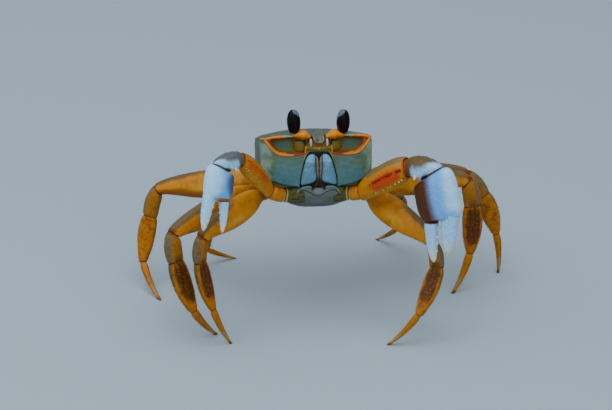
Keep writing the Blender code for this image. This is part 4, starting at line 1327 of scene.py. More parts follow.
def finger(start, end, side_axis, inward, width, curve):
    """A tapering finger on a bowed line, its tip closed as a quarter of a circle."""
    tip = TIP_STARTS + (1 - TIP_STARTS) * np.sin(np.linspace(0.1, math.pi / 2, TIP_ROWS))
    along = np.concatenate([np.linspace(0, TIP_STARTS, FINGER_ROWS), tip])
    size = flowing(along, FINGER[:, 0], FINGER[:, 1]) * width
    size *= np.sqrt(np.clip(1 - ((along - TIP_STARTS) / TIP_LENGTH).clip(0, 1) ** 2, 0.0, 1))
    column = along[:, None]
    centre = bowed(start, end, inward, curve, column)
    axis = unit(end - start)
    tangent = unit(axis - inward * 4 * curve * (1 - 2 * column))
    normal = unit(axis + (tangent - axis) * np.minimum(1, column * 8))
    rings, ways = ovals(centre, normal, side_axis, size, size, size * 0.9, 96, 2.3)
    return rings, ways, column, (ways * inward).sum(-1)


def finger_teeth(name, start, end, inward, width, curve):
    """A row of blunt teeth along the inner edge, every third one larger, smaller toward the tip."""
    count = FINGER_TEETH
    draw = np.random.default_rng(51)
    along = np.linspace(0.16, 0.9, count)[:, None]
    reach = flowing(along[:, 0], FINGER[:, 0], FINGER[:, 1])[:, None] * width
    size = np.where(np.arange(count) % 3 == 1, 1.5, 0.85) * draw.uniform(0.85, 1.1, count)
    size *= (1 - 0.55 * along[:, 0]) * width
    roots = bowed(start, end, inward, curve, along) + inward * (reach - 0.1 * width)
    blunt = ((0.0, 1.0), (0.5, 0.85), (0.8, 0.55), (0.95, 0.25))
    piece = cones(name, carried(roots), inward, 0.085 * size, 0.24 * size, 10, blunt)
    settle(piece, tooth_finish, "claw_finger")


print("a finger has", FINGER_ROWS, "rings up to its tip")

# %% Claw arms
ARM_ROWS = 150
# The first and the last ring of the arm that carries a tooth.
TOOTHED = (50, 143)


def shoulder(label, ends, planes, arm_face):
    """The ischium, the short piece between the body and the arm."""
    rings, _, facts = limb(*ends, *planes, arm_face, ISCHIUM, CLAW_COXA, rows=50)
    masks = {
        "cream": fade(0.16 - facts["along"], 0.0, 0.08),
        "ridge": 0.5 * bump(facts["along"], 0.6, 0.2) * fade(facts["back"], -0.6, 0.6),
    }
    lay(f"{label}_shoulder", rings, arm_finish, "claw_arm", masks=masks)


def upper_arm(label, name, ends, planes, arm_face, depth):
    """The merus: a ridge swells along its front as a bell of the angle, and fine ridges cross its back."""
    side, share = SIDES[name], RIDGE_SHARE[name]
    rings, ways, facts = limb(*ends, *planes, arm_face, ARM, depth, 0.03, rows=ARM_ROWS, columns=72)
    along, mm = facts["along"], facts["mm"]
    arm_way = unit(ends[1] - ends[0])
    arm_up = unit(np.array([0.0, 0.0, 1.0]) - arm_way * arm_way[2])
    arm_front = side * np.cross(arm_way, arm_up)
    around = np.degrees(np.arctan2((ways * arm_up).sum(-1), (ways * arm_front).sum(-1)))
    ridge = bump(around, RIDGE_AT, 24.0) * (share * fade(along, 0.2, 0.42) * fade(0.95 - along, 0.0, 0.05))
    striae = 0.06 * np.maximum(0, np.sin(mm * math.pi / 0.8 + np.sin(facts["angle"] * 4 + mm)))
    beaded = 0.5 * ridge * (0.7 + 0.3 * np.abs(np.sin(mm * math.pi / 1.9)))
    relief = beaded + striae * fade(around, 55.0, 75.0)
    masks = {
        "top": fade(around, 38.0, 62.0) * fade(150.0 - around, 0.0, 30.0) * fade(along, 0.15, 0.4),
        "low": fade(-around, 20.0, 50.0),
        "ridge": np.maximum(0.95 * ridge, 0.6 * fade(along, 0.955, 0.985)),
    }
    swollen = raised(rings, ways, relief * facts["skin"])
    lay(f"{label}_upper_arm", swollen, arm_finish, "claw_arm", f"{label}_arm", masks=masks)
    draw = np.random.default_rng(5)
    for kind, finish, angle_at, count, size in (
        ("ridge_teeth", ridge_finish, TEETH_AT, 11, 0.13 * share),
        ("arm_spines", spine_finish, SPINES_AT, 8, 0.055),
    ):
        rows_at = (np.linspace(*TOOTHED, count) + draw.uniform(-3, 3, count)).astype(int)
        column = np.abs(around[rows_at] - angle_at).argmin(1)
        lean = ways[rows_at, column] + arm_way * 0.5
        height = depth * size * np.linspace(0.7, 1.2, count) * draw.uniform(0.75, 1.2, count)
        roots = carried(rings[rows_at, column])
        settle(cones(f"{label}_{kind}", roots, lean, height * 0.55, height * 1.4, 8), finish, "claw_arm")


print("teeth stand on rings", TOOTHED[0], "to", TOOTHED[1], "of", ARM_ROWS + 2 * len(CUP_SIZES))

# %% Claw wrists and hands


def wrist(label, name, ends, planes, face, depth):
    """The carpus: granules over its back, and one spine at its innermost point."""
    side, large = SIDES[name], name == "left"
    rings, ways, facts = limb(*ends, *planes, face, WRIST, depth, 0.04, rows=80, columns=72)
    along = facts["along"]
    lumps = granules(rings, 0.95, 0.42, 0.16, 21) * fade(facts["back"], -0.4, 0.3)
    outer = (ways * unit([side, -0.3, 0.3])).sum(-1)
    front_low = (ways * unit([side * 0.5, -1.0, -0.15])).sum(-1)
    masks = {
        "grey": 0.45 * fade(outer, 0.0, 0.7) + (0.0 if large else 0.55),
        "blue": fade(front_low, 0.0 if large else 0.2, 0.6) * fade(along, 0.15, 0.4),
        "red": fade(0.1 - along, 0.0, 0.08),
    }
    lumpy = raised(rings, ways, lumps * facts["skin"])
    lay(f"{label}_knee", lumpy, wrist_finish, "claw_wrist", f"{label}_wrist", masks=masks)
    inner = (ways * unit([-side, -0.8, -0.5])).sum(-1)
    spot = np.unravel_index((inner - np.abs(along - 0.5) * 2).argmax(), inner.shape)
    root, lean = carried(rings[spot][None]), ways[spot] + unit(ends[1] - ends[0]) * 0.2
    slender = ((0.0, 1.0), (0.3, 0.7), (0.6, 0.42), (0.85, 0.2))
    spine = cones(f"{label}_knee_spine", root, lean, depth * 0.11, depth * 0.26, 12, slender)
    settle(spine, spine_finish, "claw_wrist")


def hand(label, name, ends, planes, face, outward, width, thick):
    """The palm, set with granules. `inner` goes from -1 at its outer to 1 at its inner edge."""
    large = name == "left"
    half_size = thick / 2
    rings, ways, facts = limb(*ends, *planes, face, PALM, width, 0.0, half_size, rows=170, columns=220)
    along = facts["along"]
    lumps = granules(rings, width * 0.062, width * 0.03, width * 0.0045, 31)
    inner = -((rings - rings.mean(1, keepdims=True)) @ outward) / (width / 2)
    ribs = 0.10 * np.sin(facts["mm"] * math.pi / 0.45).clip(0) * fade(inner, 0.3, 0.5) * large
    ribs = ribs * fade(along, 0.15, 0.3)
    oval_edge = inner - 0.35 * ((along - 0.45) / 0.4) ** 2
    masks = {
        "blue": fade(inner, *BLUE_REACH[name]) * 0.95 + 0.4 * fade(along, 0.75, 1.0),
        "slate": 0.85 * fade(oval_edge, -0.35, 0.75) * (not large),
        "violet": fade(inner, -0.32, 0.28) * large,
        "brown": fade(inner, -0.13, 0.47) * fade(along, 0.02, 0.1) * large,
        "rust": 0.9 * fade(along, 0.955, 0.99) * fade(inner, -0.4, 0.0),
    }
    lumpy = raised(rings, ways, (lumps + ribs) * facts["skin"])
    lay(f"{label}_hand", lumpy, palm_finish, "claw_palm", f"{label}_palm", masks=masks)


print("the large hand's granules are", round(CLAWS["left"]["palm_width"] * 0.06, 2), "mm wide")

# %% Claw fingers


def fixed_finger_masks(inside, along):
    """Blue on the outside and at the root, cream toward the tip."""
    outer = fade(-inside, 0.1, 0.9) * (1 - 0.5 * along)
    root = fade(inside, -0.6, 0.6) * fade(0.42 - along, 0.0, 0.3)
    return {"blue": 0.35 * outer + 0.9 * root, "cream": 0.9 * fade(along, 0.35, 1.1)}


def moving_finger_masks(inside, along):
    """Blue on the outside, a thin red hinge line at the root, cream toward the tip."""
    outer = fade(-inside, 0.1, 0.9) * (1 - 0.5 * along)
    return {"blue": outer, "red": fade(0.045 - along, 0.0, 0.02), "cream": 0.9 * fade(along, 0.35, 1.1)}


def fingers(label, claw, knuckle, palm_way, face, outward):
    """Both fingers of a hand: the fixed one grows from the palm, the moving one from the knuckle."""
    palm_width = claw["palm_width"]
    aside = outward * palm_width * 0.25
    for kind, root, inward, share, curve, masks_of in (
        ("fixed", knuckle - palm_way * palm_width * 0.22 + aside, -outward, 0.42, 0.03, fixed_finger_masks),
        ("moving", knuckle + palm_way * GAP - aside, outward, 0.30, 0.02, moving_finger_masks),
    ):
        ahead, out = claw[f"{kind}_reach"]
        tip = knuckle + palm_way * ahead + outward * out
        width = palm_width * share
        rings, ways, along, inside = finger(root, tip, face, inward, width, curve)
        groove = -0.05 * width * bump(np.abs(inside), 0.2, 0.12) * fade(along, 0.1, 0.25)
        groove = groove * fade(0.85 - along, 0.0, 0.2)
        lumps = granules(rings, width * 0.16, width * 0.075, width * 0.02, 41)
        nodes = [f"{label}_finger"] if kind == "moving" else []
        masks = masks_of(inside, along)
        lumpy = raised(rings, ways, groove + lumps)
        lay(f"{label}_{kind}_finger", lumpy, finger_finish, "claw_finger", *nodes, masks=masks)
        finger_teeth(f"{label}_{kind}_teeth", root, tip, inward, width, curve)


print("a moving finger reaches", CLAWS["left"]["moving_reach"][0], "mm past the large claw's knuckle")

# %% Both claws
# How high and how wide the skin in each joint of a claw is, as shares of the depth there.
CLAW_SKIN = ((0.36, 0.36), (0.36, 0.36), (0.34, 0.32), (0.3, 0.32))
for name, side in SIDES.items():
    claw = CLAWS[name]
    arm_depth, wrist_depth = claw["arm_depth"], claw["wrist_depth"]
    ways_on = [direction(side, *pose) for pose in claw["poses"]]
    joints = [hip_of(side, 0)]
    for way, length in zip(ways_on, claw["lengths"]):
        joints.append(joints[-1] + way * length)
    planes = planes_between(joints, unit(coxa_way(side, ways_on[0]) + ways_on[0]), ways_on[3])
    planes[3] = unit(planes[3] * 0.55 + ways_on[3] * 0.45)
    arm_face = unit(np.cross(ways_on[1], ways_on[2]))
    palm_way = ways_on[3]
    face = unit(np.cross(ways_on[2], palm_way))
    outward = unit(np.cross(palm_way, face))
    label = f"claw_{name}"

    elbow = joints[1] + planes[1] * GAP / 2
    shoulder(label, (joints[0], elbow), planes[0:2], arm_face)
    upper_arm(label, name, joints[1:3], planes[1:3], arm_face, arm_depth)
    wrist(label, name, joints[2:4], planes[2:4], face, wrist_depth)
    palm_ends = (planes[3], palm_way)
    hand(label, name, joints[3:5], palm_ends, face, outward, claw["palm_width"], claw["palm_thick"])
    fingers(label, claw, joints[4], palm_way, face, outward)

    depths = (CLAW_COXA, CLAW_COXA, arm_depth, wrist_depth)
    for place, (depth, (high, half)) in enumerate(zip(depths, CLAW_SKIN)):
        sizes = (depth * high, depth * half, 1.1)
        knob(f"{label}_skin{place}", joints[place], planes[place], arm_face, *sizes, "claw_arm")
print("two claws, the larger hand", CLAWS["left"]["palm_width"], "mm wide")

# %% [markdown]
# ## Breast plate and the base of the limbs
# Under the mouth lies the pale breast plate, with a groove between the parts for each pair of legs. Its front
# plate bows up in a wave, and a small wedge sits over the middle of it. Each limb grows from a short ribbed
# olive drum with a cream ring at its end.
# %% Breast plate
# For each station from front to tail: y, the half width at the top and low down, and how deep it hangs.
THORAX = np.array(
    [
        (-16.1, 4.6, 1.6, 0.8),
        (-16.0, 6.4, 3.2, 1.6),
        (-14.6, 8.6, 6.6, 4.4),
        (-12.6, 10.6, 9.4, 7.2),
        (-9.0, 12.4, 11.0, 8.2),
        (-3.0, 13.6, 11.6, 8.0),
        (3.0, 13.6, 11.0, 7.3),
        (8.0, 12.2, 9.2, 6.4),
        (12.0, 9.8, 6.8, 5.2),
        (14.6, 6.8, 4.4, 3.8),
        (14.8, 4.8, 2.6, 2.4),
    ]
)
# The upper edge of the large front plate and the small wedge over it: (distance from the middle, height).
FRONT_PLATE = np.array(
    [
        (0.0, -13.8),
        (1.3, -13.5),
        (2.6, -12.6),
        (4.4, -11.8),
        (6.2, -11.8),
        (7.2, -12.8),
        (8.8, -15.2),
        (10.6, -17.6),
    ]
)
SMALL_WEDGE = np.array([(0.0, -13.3), (1.2, -12.9), (2.4, -11.8), (2.6, -11.2)])
SEAM_HALF = 0.16
CROSS_SEAMS_AT = (-8.6, -3.0, 3.0, 8.6)
BREAST_ROWS = 260
BREAST_COLUMNS = 150
LID_COLUMNS = 14


def distance_to(points, line):
    """The distance from each point to the nearest piece of an open line."""
    start, edge = line[:-1], np.diff(line, axis=0)
    along = ((points[..., None, :] - start) * edge).sum(-1) / (edge**2).sum(1)
    away = points[..., None, :] - start - np.clip(along, 0, 1)[..., None] * edge
    return np.linalg.norm(away, axis=-1).min(-1)


belly_y = THORAX[0, 0] + (THORAX[-1, 0] - THORAX[0, 0]) * np.linspace(0, 1, BREAST_ROWS) ** 2
top_half, low_half, fall_depth = flowing(belly_y, THORAX[:, 0], THORAX[:, 1:]).T[:, :, None]
angle = np.linspace(0, math.pi, BREAST_COLUMNS)
fall = np.sin(angle).clip(0) ** 0.55
half = top_half + (low_half - top_half) * fall**4
level = (split_height(belly_y) - GAP)[:, None]
across = half * power(np.cos(angle), 0.6)
belly = np.stack(np.broadcast_arrays(across, belly_y[:, None], level - fall_depth * fall), -1)
lid_across = np.linspace(-1, 1, LID_COLUMNS + 2)[1:-1] * top_half
lid = np.stack(np.broadcast_arrays(lid_across, belly_y[:, None], level), -1)
print("the breast plate has", belly.shape[0] * (belly.shape[1] + LID_COLUMNS), "points")

# %% Seams of the breast plate
seen = np.stack([np.abs(belly[..., 0]), belly[..., 2]], -1)
bow = fade(-belly[..., 1], 8.0, 10.5)
below_edge = np.interp(seen[..., 0], *FRONT_PLATE.T) - seen[..., 1]
middle_seam = bump(belly[..., 0], 0.0, 0.3) * fade(belly[..., 1], -11.0, -8.0)
grooves = np.maximum(sum(bump(belly[..., 1], at, 0.35) for at in CROSS_SEAMS_AT), middle_seam) * fall
wedge_line = bump(distance_to(seen, SMALL_WEDGE), 0.0, SEAM_HALF) * 0.6
lines = np.maximum(bump(distance_to(seen, FRONT_PLATE), 0.0, SEAM_HALF), wedge_line) * bow
belly[..., 2] += 0.4 * grooves
belly[..., 1] += bow * (0.5 * fade(below_edge, -0.1, 0.25) + 0.35 * lines)
breast_masks = {
    "seam": np.maximum(grooves, lines),
    "rim": bump(below_edge, -0.55, 0.3) * fade(seen[..., 0], 6.2, 7.0) * bow,
    "olive": fade(-below_edge, 0.9, 1.3) * fade(seen[..., 0], 6.6, 7.4) * bow,
    "pale": fade(-below_edge, 0.2, 0.6) * fade(6.8 - seen[..., 0], 0.0, 0.8) * bow,
    "dim": fade(below_edge, 2.0, 3.5) * fade(7.5 - seen[..., 0], 0.0, 2.0) * bow,
}
bare_lid = np.zeros(lid.shape[:2])
masks = {key: np.concatenate([value, bare_lid], 1) for key, value in breast_masks.items()}
# Smooth limy plates that never see the sun, so they carry little pigment: pale grey, dull, with dark seams
# of soft skin. The limbs' bases and the tail are of the same shell, olive or cream where the masks say so.
breast_finish = shell_finish(
    "pale_breast_plate",
    ("#646C68", "#586058"),
    [
        ("pale", "#72827E", 0.4),
        ("dim", "#525A56", 0.8),
        ("olive", "#4C4A0C", 0.15),
        ("rim", "#9A8440", 0.2),
        ("cream", "#B29A5C", 0.15),
        # The rib layer is painted shade in the grooves of the limbs' bases.
        ("rib", "#241F06", 0.3),
        ("seam", "#1E1C14", 0.2),
    ],
    rough=0.5,
    freckle=("#6A7876", 1.2, 0.4),
)
breast_rings = np.concatenate([belly, lid], 1)
lay("breast_plate", breast_rings, breast_finish, "thorax", "thorax", masks=masks, in_body=True)
print("the seams are", 2 * SEAM_HALF, "mm wide")

# %% Limb bases
COXA = ((0.0, 0.60, 0.60, 0.55), (0.45, 0.62, 0.60, 0.58), (0.8, 0.54, 0.50, 0.50), (1.0, 0.44, 0.42, 0.40))


def limb_base(name, side, number):
    """A drum under a limb: twelve ribs that go as the cosine round it, and a ring before its end."""
    hip = hip_of(side, number)
    poses = CLAWS[name]["poses"] if number == 0 else STANCE[name, number]
    out = direction(side, *poses[0])
    depth = CLAW_COXA if number == 0 else LEGS[number][4] * 0.48
    way = coxa_way(side, out)
    aside = unit(np.cross(out, (0.0, 0.0, -1.0)))
    end_plane = unit(way + out)
    start = hip - way * COXA_LENGTH
    rings, ways, facts = limb(start, hip, way, end_plane, aside, COXA, depth, rows=50, columns=40)
    along = facts["along"]
    ribs = 0.5 - 0.5 * np.cos(facts["angle"] * 12 + along * 3)
    ribbed = fade(0.85 - along, 0.0, 0.2)
    masks = {
        "olive": fade(0.95 - along, 0.0, 0.05),
        # Painted shade: this mask is darkest where the ribs' relief is lowest, in the grooves between them.
        "rib": 0.8 * bump(ribs, 0.0, 0.3) * ribbed,
        "cream": bump(along, 0.96, 0.05),
    }
    rings = raised(rings, ways, 0.14 * bump(along, 0.95, 0.05) + 0.12 * ribs * ribbed)
    lay(f"limb_base{number}_{name}", rings, breast_finish, "thorax", masks=masks)


for name, side in SIDES.items():
    for number in HIPS:
        limb_base(name, side, number)
print("ten limb bases,", COXA_LENGTH, "mm long")

# %% [markdown]
# ## The folded tail
# The narrow tail is folded forward under the breast, in seven rings. It is a row of flat ovals along a curve,
# and a bell of the length pinches it at each joint.
# %% Tail
# For each station from root to tip: y, height and half width.
TAIL = np.array(
    [
        (18.1, -1.5, 5.6),
        (18.3, -4.5, 5.6),
        (17.6, -8.0, 5.3),
        (16.0, -12.0, 4.6),
        (12.6, -14.4, 3.9),
        (8.0, -15.9, 3.5),
        (4.0, -16.95, 2.8),
        (1.5, -17.4, 1.4),
    ]
)
TAIL_ROWS = 150
TAIL_JOINTS = (0.14, 0.28, 0.42, 0.56, 0.7, 0.84)
TAIL_THICK = 0.7
travel = travelled(TAIL[:, :2])
steps = np.linspace(0, travel[-1], TAIL_ROWS)
tail_y, tail_z, tail_half = flowing(steps, travel, TAIL).T
path = np.stack([np.zeros(TAIL_ROWS), tail_y, tail_z], -1)
closing = rounded(TAIL_ROWS, 24)
pinch = sum(bump(steps, travel[-1] * share, 0.3) for share in TAIL_JOINTS)
thick = TAIL_THICK * closing * (1 - 0.3 * pinch)
rings, _ = along_path(path, (1.0, 0.0, 0.0), thick, tail_half * closing * (1 - 0.03 * pinch), 48, 3.0)
masks = {"seam": pinch[:, None]}
lay("folded_tail", rings, breast_finish, "abdomen", "abdomen", masks=masks, in_body=True)
print("the folded tail is", round(float(travel[-1]), 1), "mm long")

# %% [markdown]
# ## Mouth
# Two flat mouth plates close the mouth like doors, one on each side, sky blue and rounded, widest low down.
# A mauve feeler folds down along the inner edge of each, red-brown roots spread under them over a pale base,
# and a thin frame runs round the opening.
# %% Mouth finishes
# Thin limy chitin over clear flesh. Light scatters in it, so it looks sky blue and soft, with dark freckles.
mouth_finish = shell_finish(
    "sky_blue_mouth_plate",
    ("#4E8098", "#447084"),
    [("top", "#5A9AC0", 0.5), ("line", "#3A5866", 0.4), ("edge", "#2C4444", 0.3)],
    rough=0.45,
    freckle=("#2E4A58", 1.0, 0.6),
    mottle=("#7AA8C4", 2.2, 0.35),
)
# Jointed feelers with hardly any lime, matt and mauve.
palp_finish = shell_finish("mauve_feeler", ("#7A6A56", "#5A4A40"), rough=0.5)
# Soft skin full of red-brown pigment, always in shade.
root_finish = shell_finish("red_brown_mouth_root", ("#3A1606", "#221006"), rough=0.5)
# Bare limy shell, pale and evenly grained.
base_finish = shell_finish("pale_mouth_base", ("#5E7A7A", "#50686A"), rough=0.45)
# A thick lip of chitin, yellower toward the top where it is rubbed.
frame_colours = ("#5E6040", "#4A4E34")
frame_finish = shell_finish("pale_mouth_frame", frame_colours, [("gold", "#9A7A14", 0.3)], rough=0.45)
print("there are", len(bpy.data.materials) - solids_colours, "finishes so far, with the floor's")

# %% Mouth plates
# Each door plate from top to bottom: height, then its inner and outer edge's distance from the middle.
DOOR = np.array(
    [
        (1.05, 1.75, 2.6),
        (0.7, 1.35, 3.4),
        (-0.6, 1.10, 4.35),
        (-2.6, 1.00, 5.1),
        (-5.0, 0.80, 5.75),
        (-6.9, 0.62, 6.1),
        (-8.0, 0.95, 6.25),
        (-8.8, 2.1, 6.3),
        (-9.4, 4.3, 6.25),
        (-9.7, 5.5, 6.0),
    ]
)
DOOR_BACK = -16.7
DOOR_ROWS = 130
DOOR_COLUMNS = 72


def mouth_door(name, side):
    """A door plate: out from its middle by the cosine, forward by the sine, each to the power two thirds."""
    travel = travelled(DOOR[:, ::2])
    z, inner, outer = flowing(np.linspace(0, travel[-1], DOOR_ROWS), travel, DOOR).T[:, :, None]
    along = (z[0] - z) / (z[0] - z[-1])
    bulge = 0.9 + 0.75 * np.sin(math.pi * (0.1 + 0.75 * along))
    from_end = np.minimum(z - z[-1], z[0] - z)
    thin = np.sqrt(np.clip(1 - (1 - np.minimum(from_end / 0.9, 1)) ** 2, 0.03, 1))
    angle = np.linspace(0, 2 * math.pi, DOOR_COLUMNS, endpoint=False)
    x = (inner + outer) / 2 + (outer - inner) / 2 * power(np.cos(angle), 2 / 3)
    ahead = power(np.sin(angle), 2 / 3)
    hinge = bump(z, -2.6 - 0.25 * x, 0.16)
    y = DOOR_BACK - ahead * np.where(ahead > 0, bulge * thin - 0.12 * hinge, 0.95 * thin)
    masks = {"top": fade(z, -2.6, -0.8), "line": 0.6 * hinge, "edge": fade(np.abs(np.cos(angle)), 0.96, 1.0)}
    rings = np.stack(np.broadcast_arrays(side * x, y, z), -1)
    nodes = [f"maxilliped_{name}"]
    lay(f"mouth_plate_{name}", rings, mouth_finish, "maxilliped", *nodes, masks=masks, in_body=True)


print("a mouth plate is", round(DOOR[0, 0] - DOOR[-1, 0], 2), "mm high")

# %% Round the mouth plates
FEELER = np.array(
    [(1.15, -17.6, 0.5), (0.62, -17.9, -0.7), (0.56, -18.2, -3.0), (0.5, -18.2, -5.2), (0.3, -17.9, -7.4)]
)
ROOT = np.array([(0.28, -17.6, -6.9), (0.4, -17.7, -8.4), (1.2, -17.5, -10.0), (2.3, -16.7, -11.5)])
MOUTH_BASE = np.array([(2.3, -16.9, -10.6), (3.6, -16.9, -10.35), (5.2, -16.7, -10.5), (6.5, -16.3, -11.0)])
FRAME_STARTS_Y = -16.5
FRAME_ROWS = 90
SMOOTH_OVER = 9
frame_path = even(MOUTH_SIDE, FRAME_ROWS)


def mouth_tube(kind, name, side, knots, radius, finish, flat=1.0):
    """A tube along knots given for the left side, evenly spaced."""
    rings = tube(even(knots, len(radius)) * (side, 1, 1), radius, flat=flat)
    lay(f"{kind}_{name}", rings, finish, "maxilliped", in_body=True)


def mouth_frame(name, side):
    """The frame on one side: a tube along the mouth's edge, which rests on the unpressed face."""
    edge = frame_path * (-side, 1)
    path = np.stack([edge[:, 0], on_front(edge) + 0.1, edge[:, 1]], -1)
    padded = np.pad(path[:, 1], SMOOTH_OVER // 2, "edge")
    path[:, 1] = np.convolve(padded, np.ones(SMOOTH_OVER) / SMOOTH_OVER, "valid")
    path = path[path[:, 2] > split_height(FRAME_STARTS_Y) + 0.5]
    rings = tube(path, 0.22 * rounded(len(path), 10), lift=(0, 1, 0))
    masks = {"gold": fade(path[:, 2], -1.5, 0.5)[:, None]}
    lay(f"mouth_frame_{name}", rings, frame_finish, "carapace", masks=masks, in_body=True)


FEELER_ROWS = 90
feeler_radius = flowing(np.linspace(0, 1, FEELER_ROWS), (0.0, 0.2, 0.7, 1.0), (0.30, 0.44, 0.42, 0.24))
feeler_radius *= 1 + 0.10 * np.sin(np.linspace(0, 8 * math.pi, FEELER_ROWS))
feeler_radius *= rounded(FEELER_ROWS, 12)
for name, side in SIDES.items():
    mouth_door(name, side)
    mouth_tube("mouth_feeler", name, side, FEELER, feeler_radius, palp_finish)
    mouth_tube("mouth_root", name, side, ROOT, 0.36 * rounded(60, 8), root_finish)
    mouth_tube("mouth_base", name, side, MOUTH_BASE, 0.62 * rounded(60, 4), base_finish, flat=0.7)
    mouth_frame(name, side)
print("a mouth feeler is", round(float(feeler_radius.max() * 2), 2), "mm thick")

# %% [markdown]
# ## Brow, feelers and eyes
# Between the eyes the shell runs down in a narrow tongue with a pale rim. Below it are two folded white
# feelers and the olive bar over the mouth. Each eye is a tall cornea that wraps round a kite-shaped orange
# stalk. It is black and only softly glossy, with a painted reflection on its upper inner side: a slate-blue
# patch of colour that stands for the soft sheen of light from above.
# %% Brow
# For each station from back to tip: y, height, half width and half thickness.
BROW = np.array(
    [
        (-10.4, 6.9, 2.9, 0.7),
        (-11.0, 7.3, 2.8, 0.9),
        (-14.0, 7.5, 2.5, 0.9),
        (-16.4, 7.0, 2.15, 0.85),
        (-17.7, 5.8, 1.95, 0.8),
        (-18.1, 4.75, 1.6, 0.7),
    ]
)
BROW_ROWS = 120
BROW_TIP = 1.1
travel = travelled(BROW[:, :2])
steps = np.linspace(0, travel[-1], BROW_ROWS)
from_tip = travel[-1] - steps
brow_y, brow_z, brow_half, brow_high = flowing(steps, travel, BROW).T
closing = np.sqrt(np.clip(1 - (1 - from_tip / BROW_TIP).clip(0, 1) ** 2, 0.02, 1))
path = np.stack([np.zeros(BROW_ROWS), brow_y, brow_z], -1)
brow_half = brow_half * (0.3 + 0.7 * closing)
rings, ways = along_path(path, (1.0, 0.0, 0.0), brow_high * closing, brow_half, 72, 3.0)
side_share = np.abs(rings[..., 0]) / brow_half[:, None]
facing = (ways * unit([0.0, -0.5, 0.8])).sum(-1)
upper = fade(facing, 0.0, 0.3)
rim = np.maximum(bump(side_share, 0.86, 0.14), fade(-from_tip, -0.9, -0.4)[:, None])
rim = rim * upper * fade(-from_tip, -3.4, -1.6)[:, None]
trough = bump(side_share, 0.0, 0.45) * upper * (closing > 0.8)[:, None]
# The same limy shell as the back, closely speckled with black pigment, so it looks like dark granite.
brow_finish = shell_finish(
    "speckled_brow",
    ("#5A5E4C", "#4C5044"),
    # The under layer is painted shade on the brow's lower faces.
    [("blue", "#4A6474", 0.8), ("rim", "#827E6A", 0.4), ("under", "#14100A", 0.2)],
    freckle=("#10140E", 0.7, 1.0),
    mottle=("#2A302A", 2.0, 0.6),
)
masks = {
    "blue": 0.7 * fade(side_share, 0.3, 0.9) * fade(from_tip, 2.0, 4.0)[:, None],
    "rim": rim,
    # Painted shade: the faces of the brow that turn away from above and in front go almost black.
    "under": fade(-facing, -0.15, 0.15),
}
rings = raised(rings, ways, 0.14 * rim - 0.22 * trough)
lay("brow_tongue", rings, brow_finish, "carapace", masks=masks, in_body=True)
print("the brow's tongue is", round(float(travel[-1]), 1), "mm long")

# %% Mouth bar
BAR_HALF = 4.6
BAR_ROWS = 140
bar_x = np.linspace(-BAR_HALF, BAR_HALF, BAR_ROWS)
bar_turn = bar_x / BAR_HALF * math.pi
bar_path = np.stack([bar_x, -17.1 - 0.6 * np.cos(bar_turn / 2), 3.1 - 0.2 * np.cos(bar_turn)], -1)
centre_rib = bump(bar_x, 0.0, 0.7)
bar_high = 0.6 + 0.25 * centre_rib
rings, _ = along_path(bar_path, (0.0, 0.0, 1.0), bar_high, 0.72 * rounded(BAR_ROWS, 10), 40, 2.6)
# Chitin stained olive and gold, kept wet by the gills' water, so a little smoother than the shell round it.
bar_finish = shell_finish(
    "olive_mouth_bar",
    ("#756202", "#5C4C02"),
    [("rib", "#A87C02", 0.6), ("dark", "#1E1404", 0.3)],
    rough=0.4,
    freckle=("#3A3204", 0.8, 0.5),
)
masks = {"rib": (0.5 * centre_rib + bump(np.abs(bar_x), BAR_HALF, 0.5))[:, None]}
lay("mouth_bar", rings, bar_finish, "carapace", masks=masks, in_body=True)
print("the mouth bar is", 2 * BAR_HALF, "mm wide")

# %% Folded feelers
ANTENNULE = np.array([(2.75, -17.7, 6.5), (2.85, -18.3, 5.9), (2.9, -18.6, 4.9), (2.75, -18.6, 3.8)])
POST = np.array([(4.5, -17.5, 4.1), (4.55, -17.75, 2.8), (4.75, -17.5, 1.2)])
FEELER_BASE = np.array([(4.5, -16.0, 3.7), (6.3, -15.6, 3.5), (8.3, -14.7, 3.3)])
# Clear chitin over white flesh, soft and dull.
feeler_finish = shell_finish("white_feeler", ("#B4B0A0", "#9A968A"), [("dark", "#4A3A14", 0.3)], rough=0.45)


def folded_feeler(name, side):
    """A feeler: a tube with a fine ripple of rings on its radius."""
    share = np.linspace(0, 1, 60)
    radius = np.interp(share, (0, 0.35, 0.75, 1), (0.30, 0.46, 0.40, 0.28)) * (1 + 0.06 * np.sin(share * 40))
    rings = tube(even(ANTENNULE, 60) * (side, 1, 1), radius * rounded(60, 10))
    masks = {"dark": fade(0.2 - share, 0.0, 0.15)[:, None]}
    nodes = [f"antennule_{name}"]
    lay(f"folded_feeler_{name}", rings, feeler_finish, "antennule", *nodes, masks=masks, in_body=True)


def feeler_mounts(name, side):
    """The post beside the bar and the flat base of the outer feeler behind it."""
    rings = tube(even(POST, 40) * (side, 1, 1), 0.34 * rounded(40, 6))
    lay(f"bar_post_{name}", rings, bar_finish, "carapace", masks={"rib": 1.0}, in_body=True)
    path = even(FEELER_BASE, 50) * (side, 1, 1)
    rings, _ = along_path(path, (0.0, 1.0, 0.0), 2.1 * rounded(50, 4), 0.6 * rounded(50, 3), 40, 2.0)
    masks = {"dark": 0.3 * fade(np.abs(path[:, 0]), 7.3, 8.0)[:, None]}
    lay(f"feeler_base_{name}", rings, bar_finish, "carapace", masks=masks, in_body=True)


for name, side in SIDES.items():
    folded_feeler(name, side)
    feeler_mounts(name, side)
print("a folded feeler hangs from", ANTENNULE[0, 2], "to", ANTENNULE[-1, 2], "mm above the body's middle")

# %% Eye finishes
# Smooth orange chitin, thin enough to bend: soft edged and without freckles.
stalk_finish = shell_finish(
    "orange_eyestalk",
    ("#E08A00", "#CC7600"),
    [("tip", "#4A2A08", 0.4), ("shade", "#A86802", 0.4)],
    rough=0.5,
    grain=0.12,
    shine=0.2,
)
CORNEA_IOR = 1.38
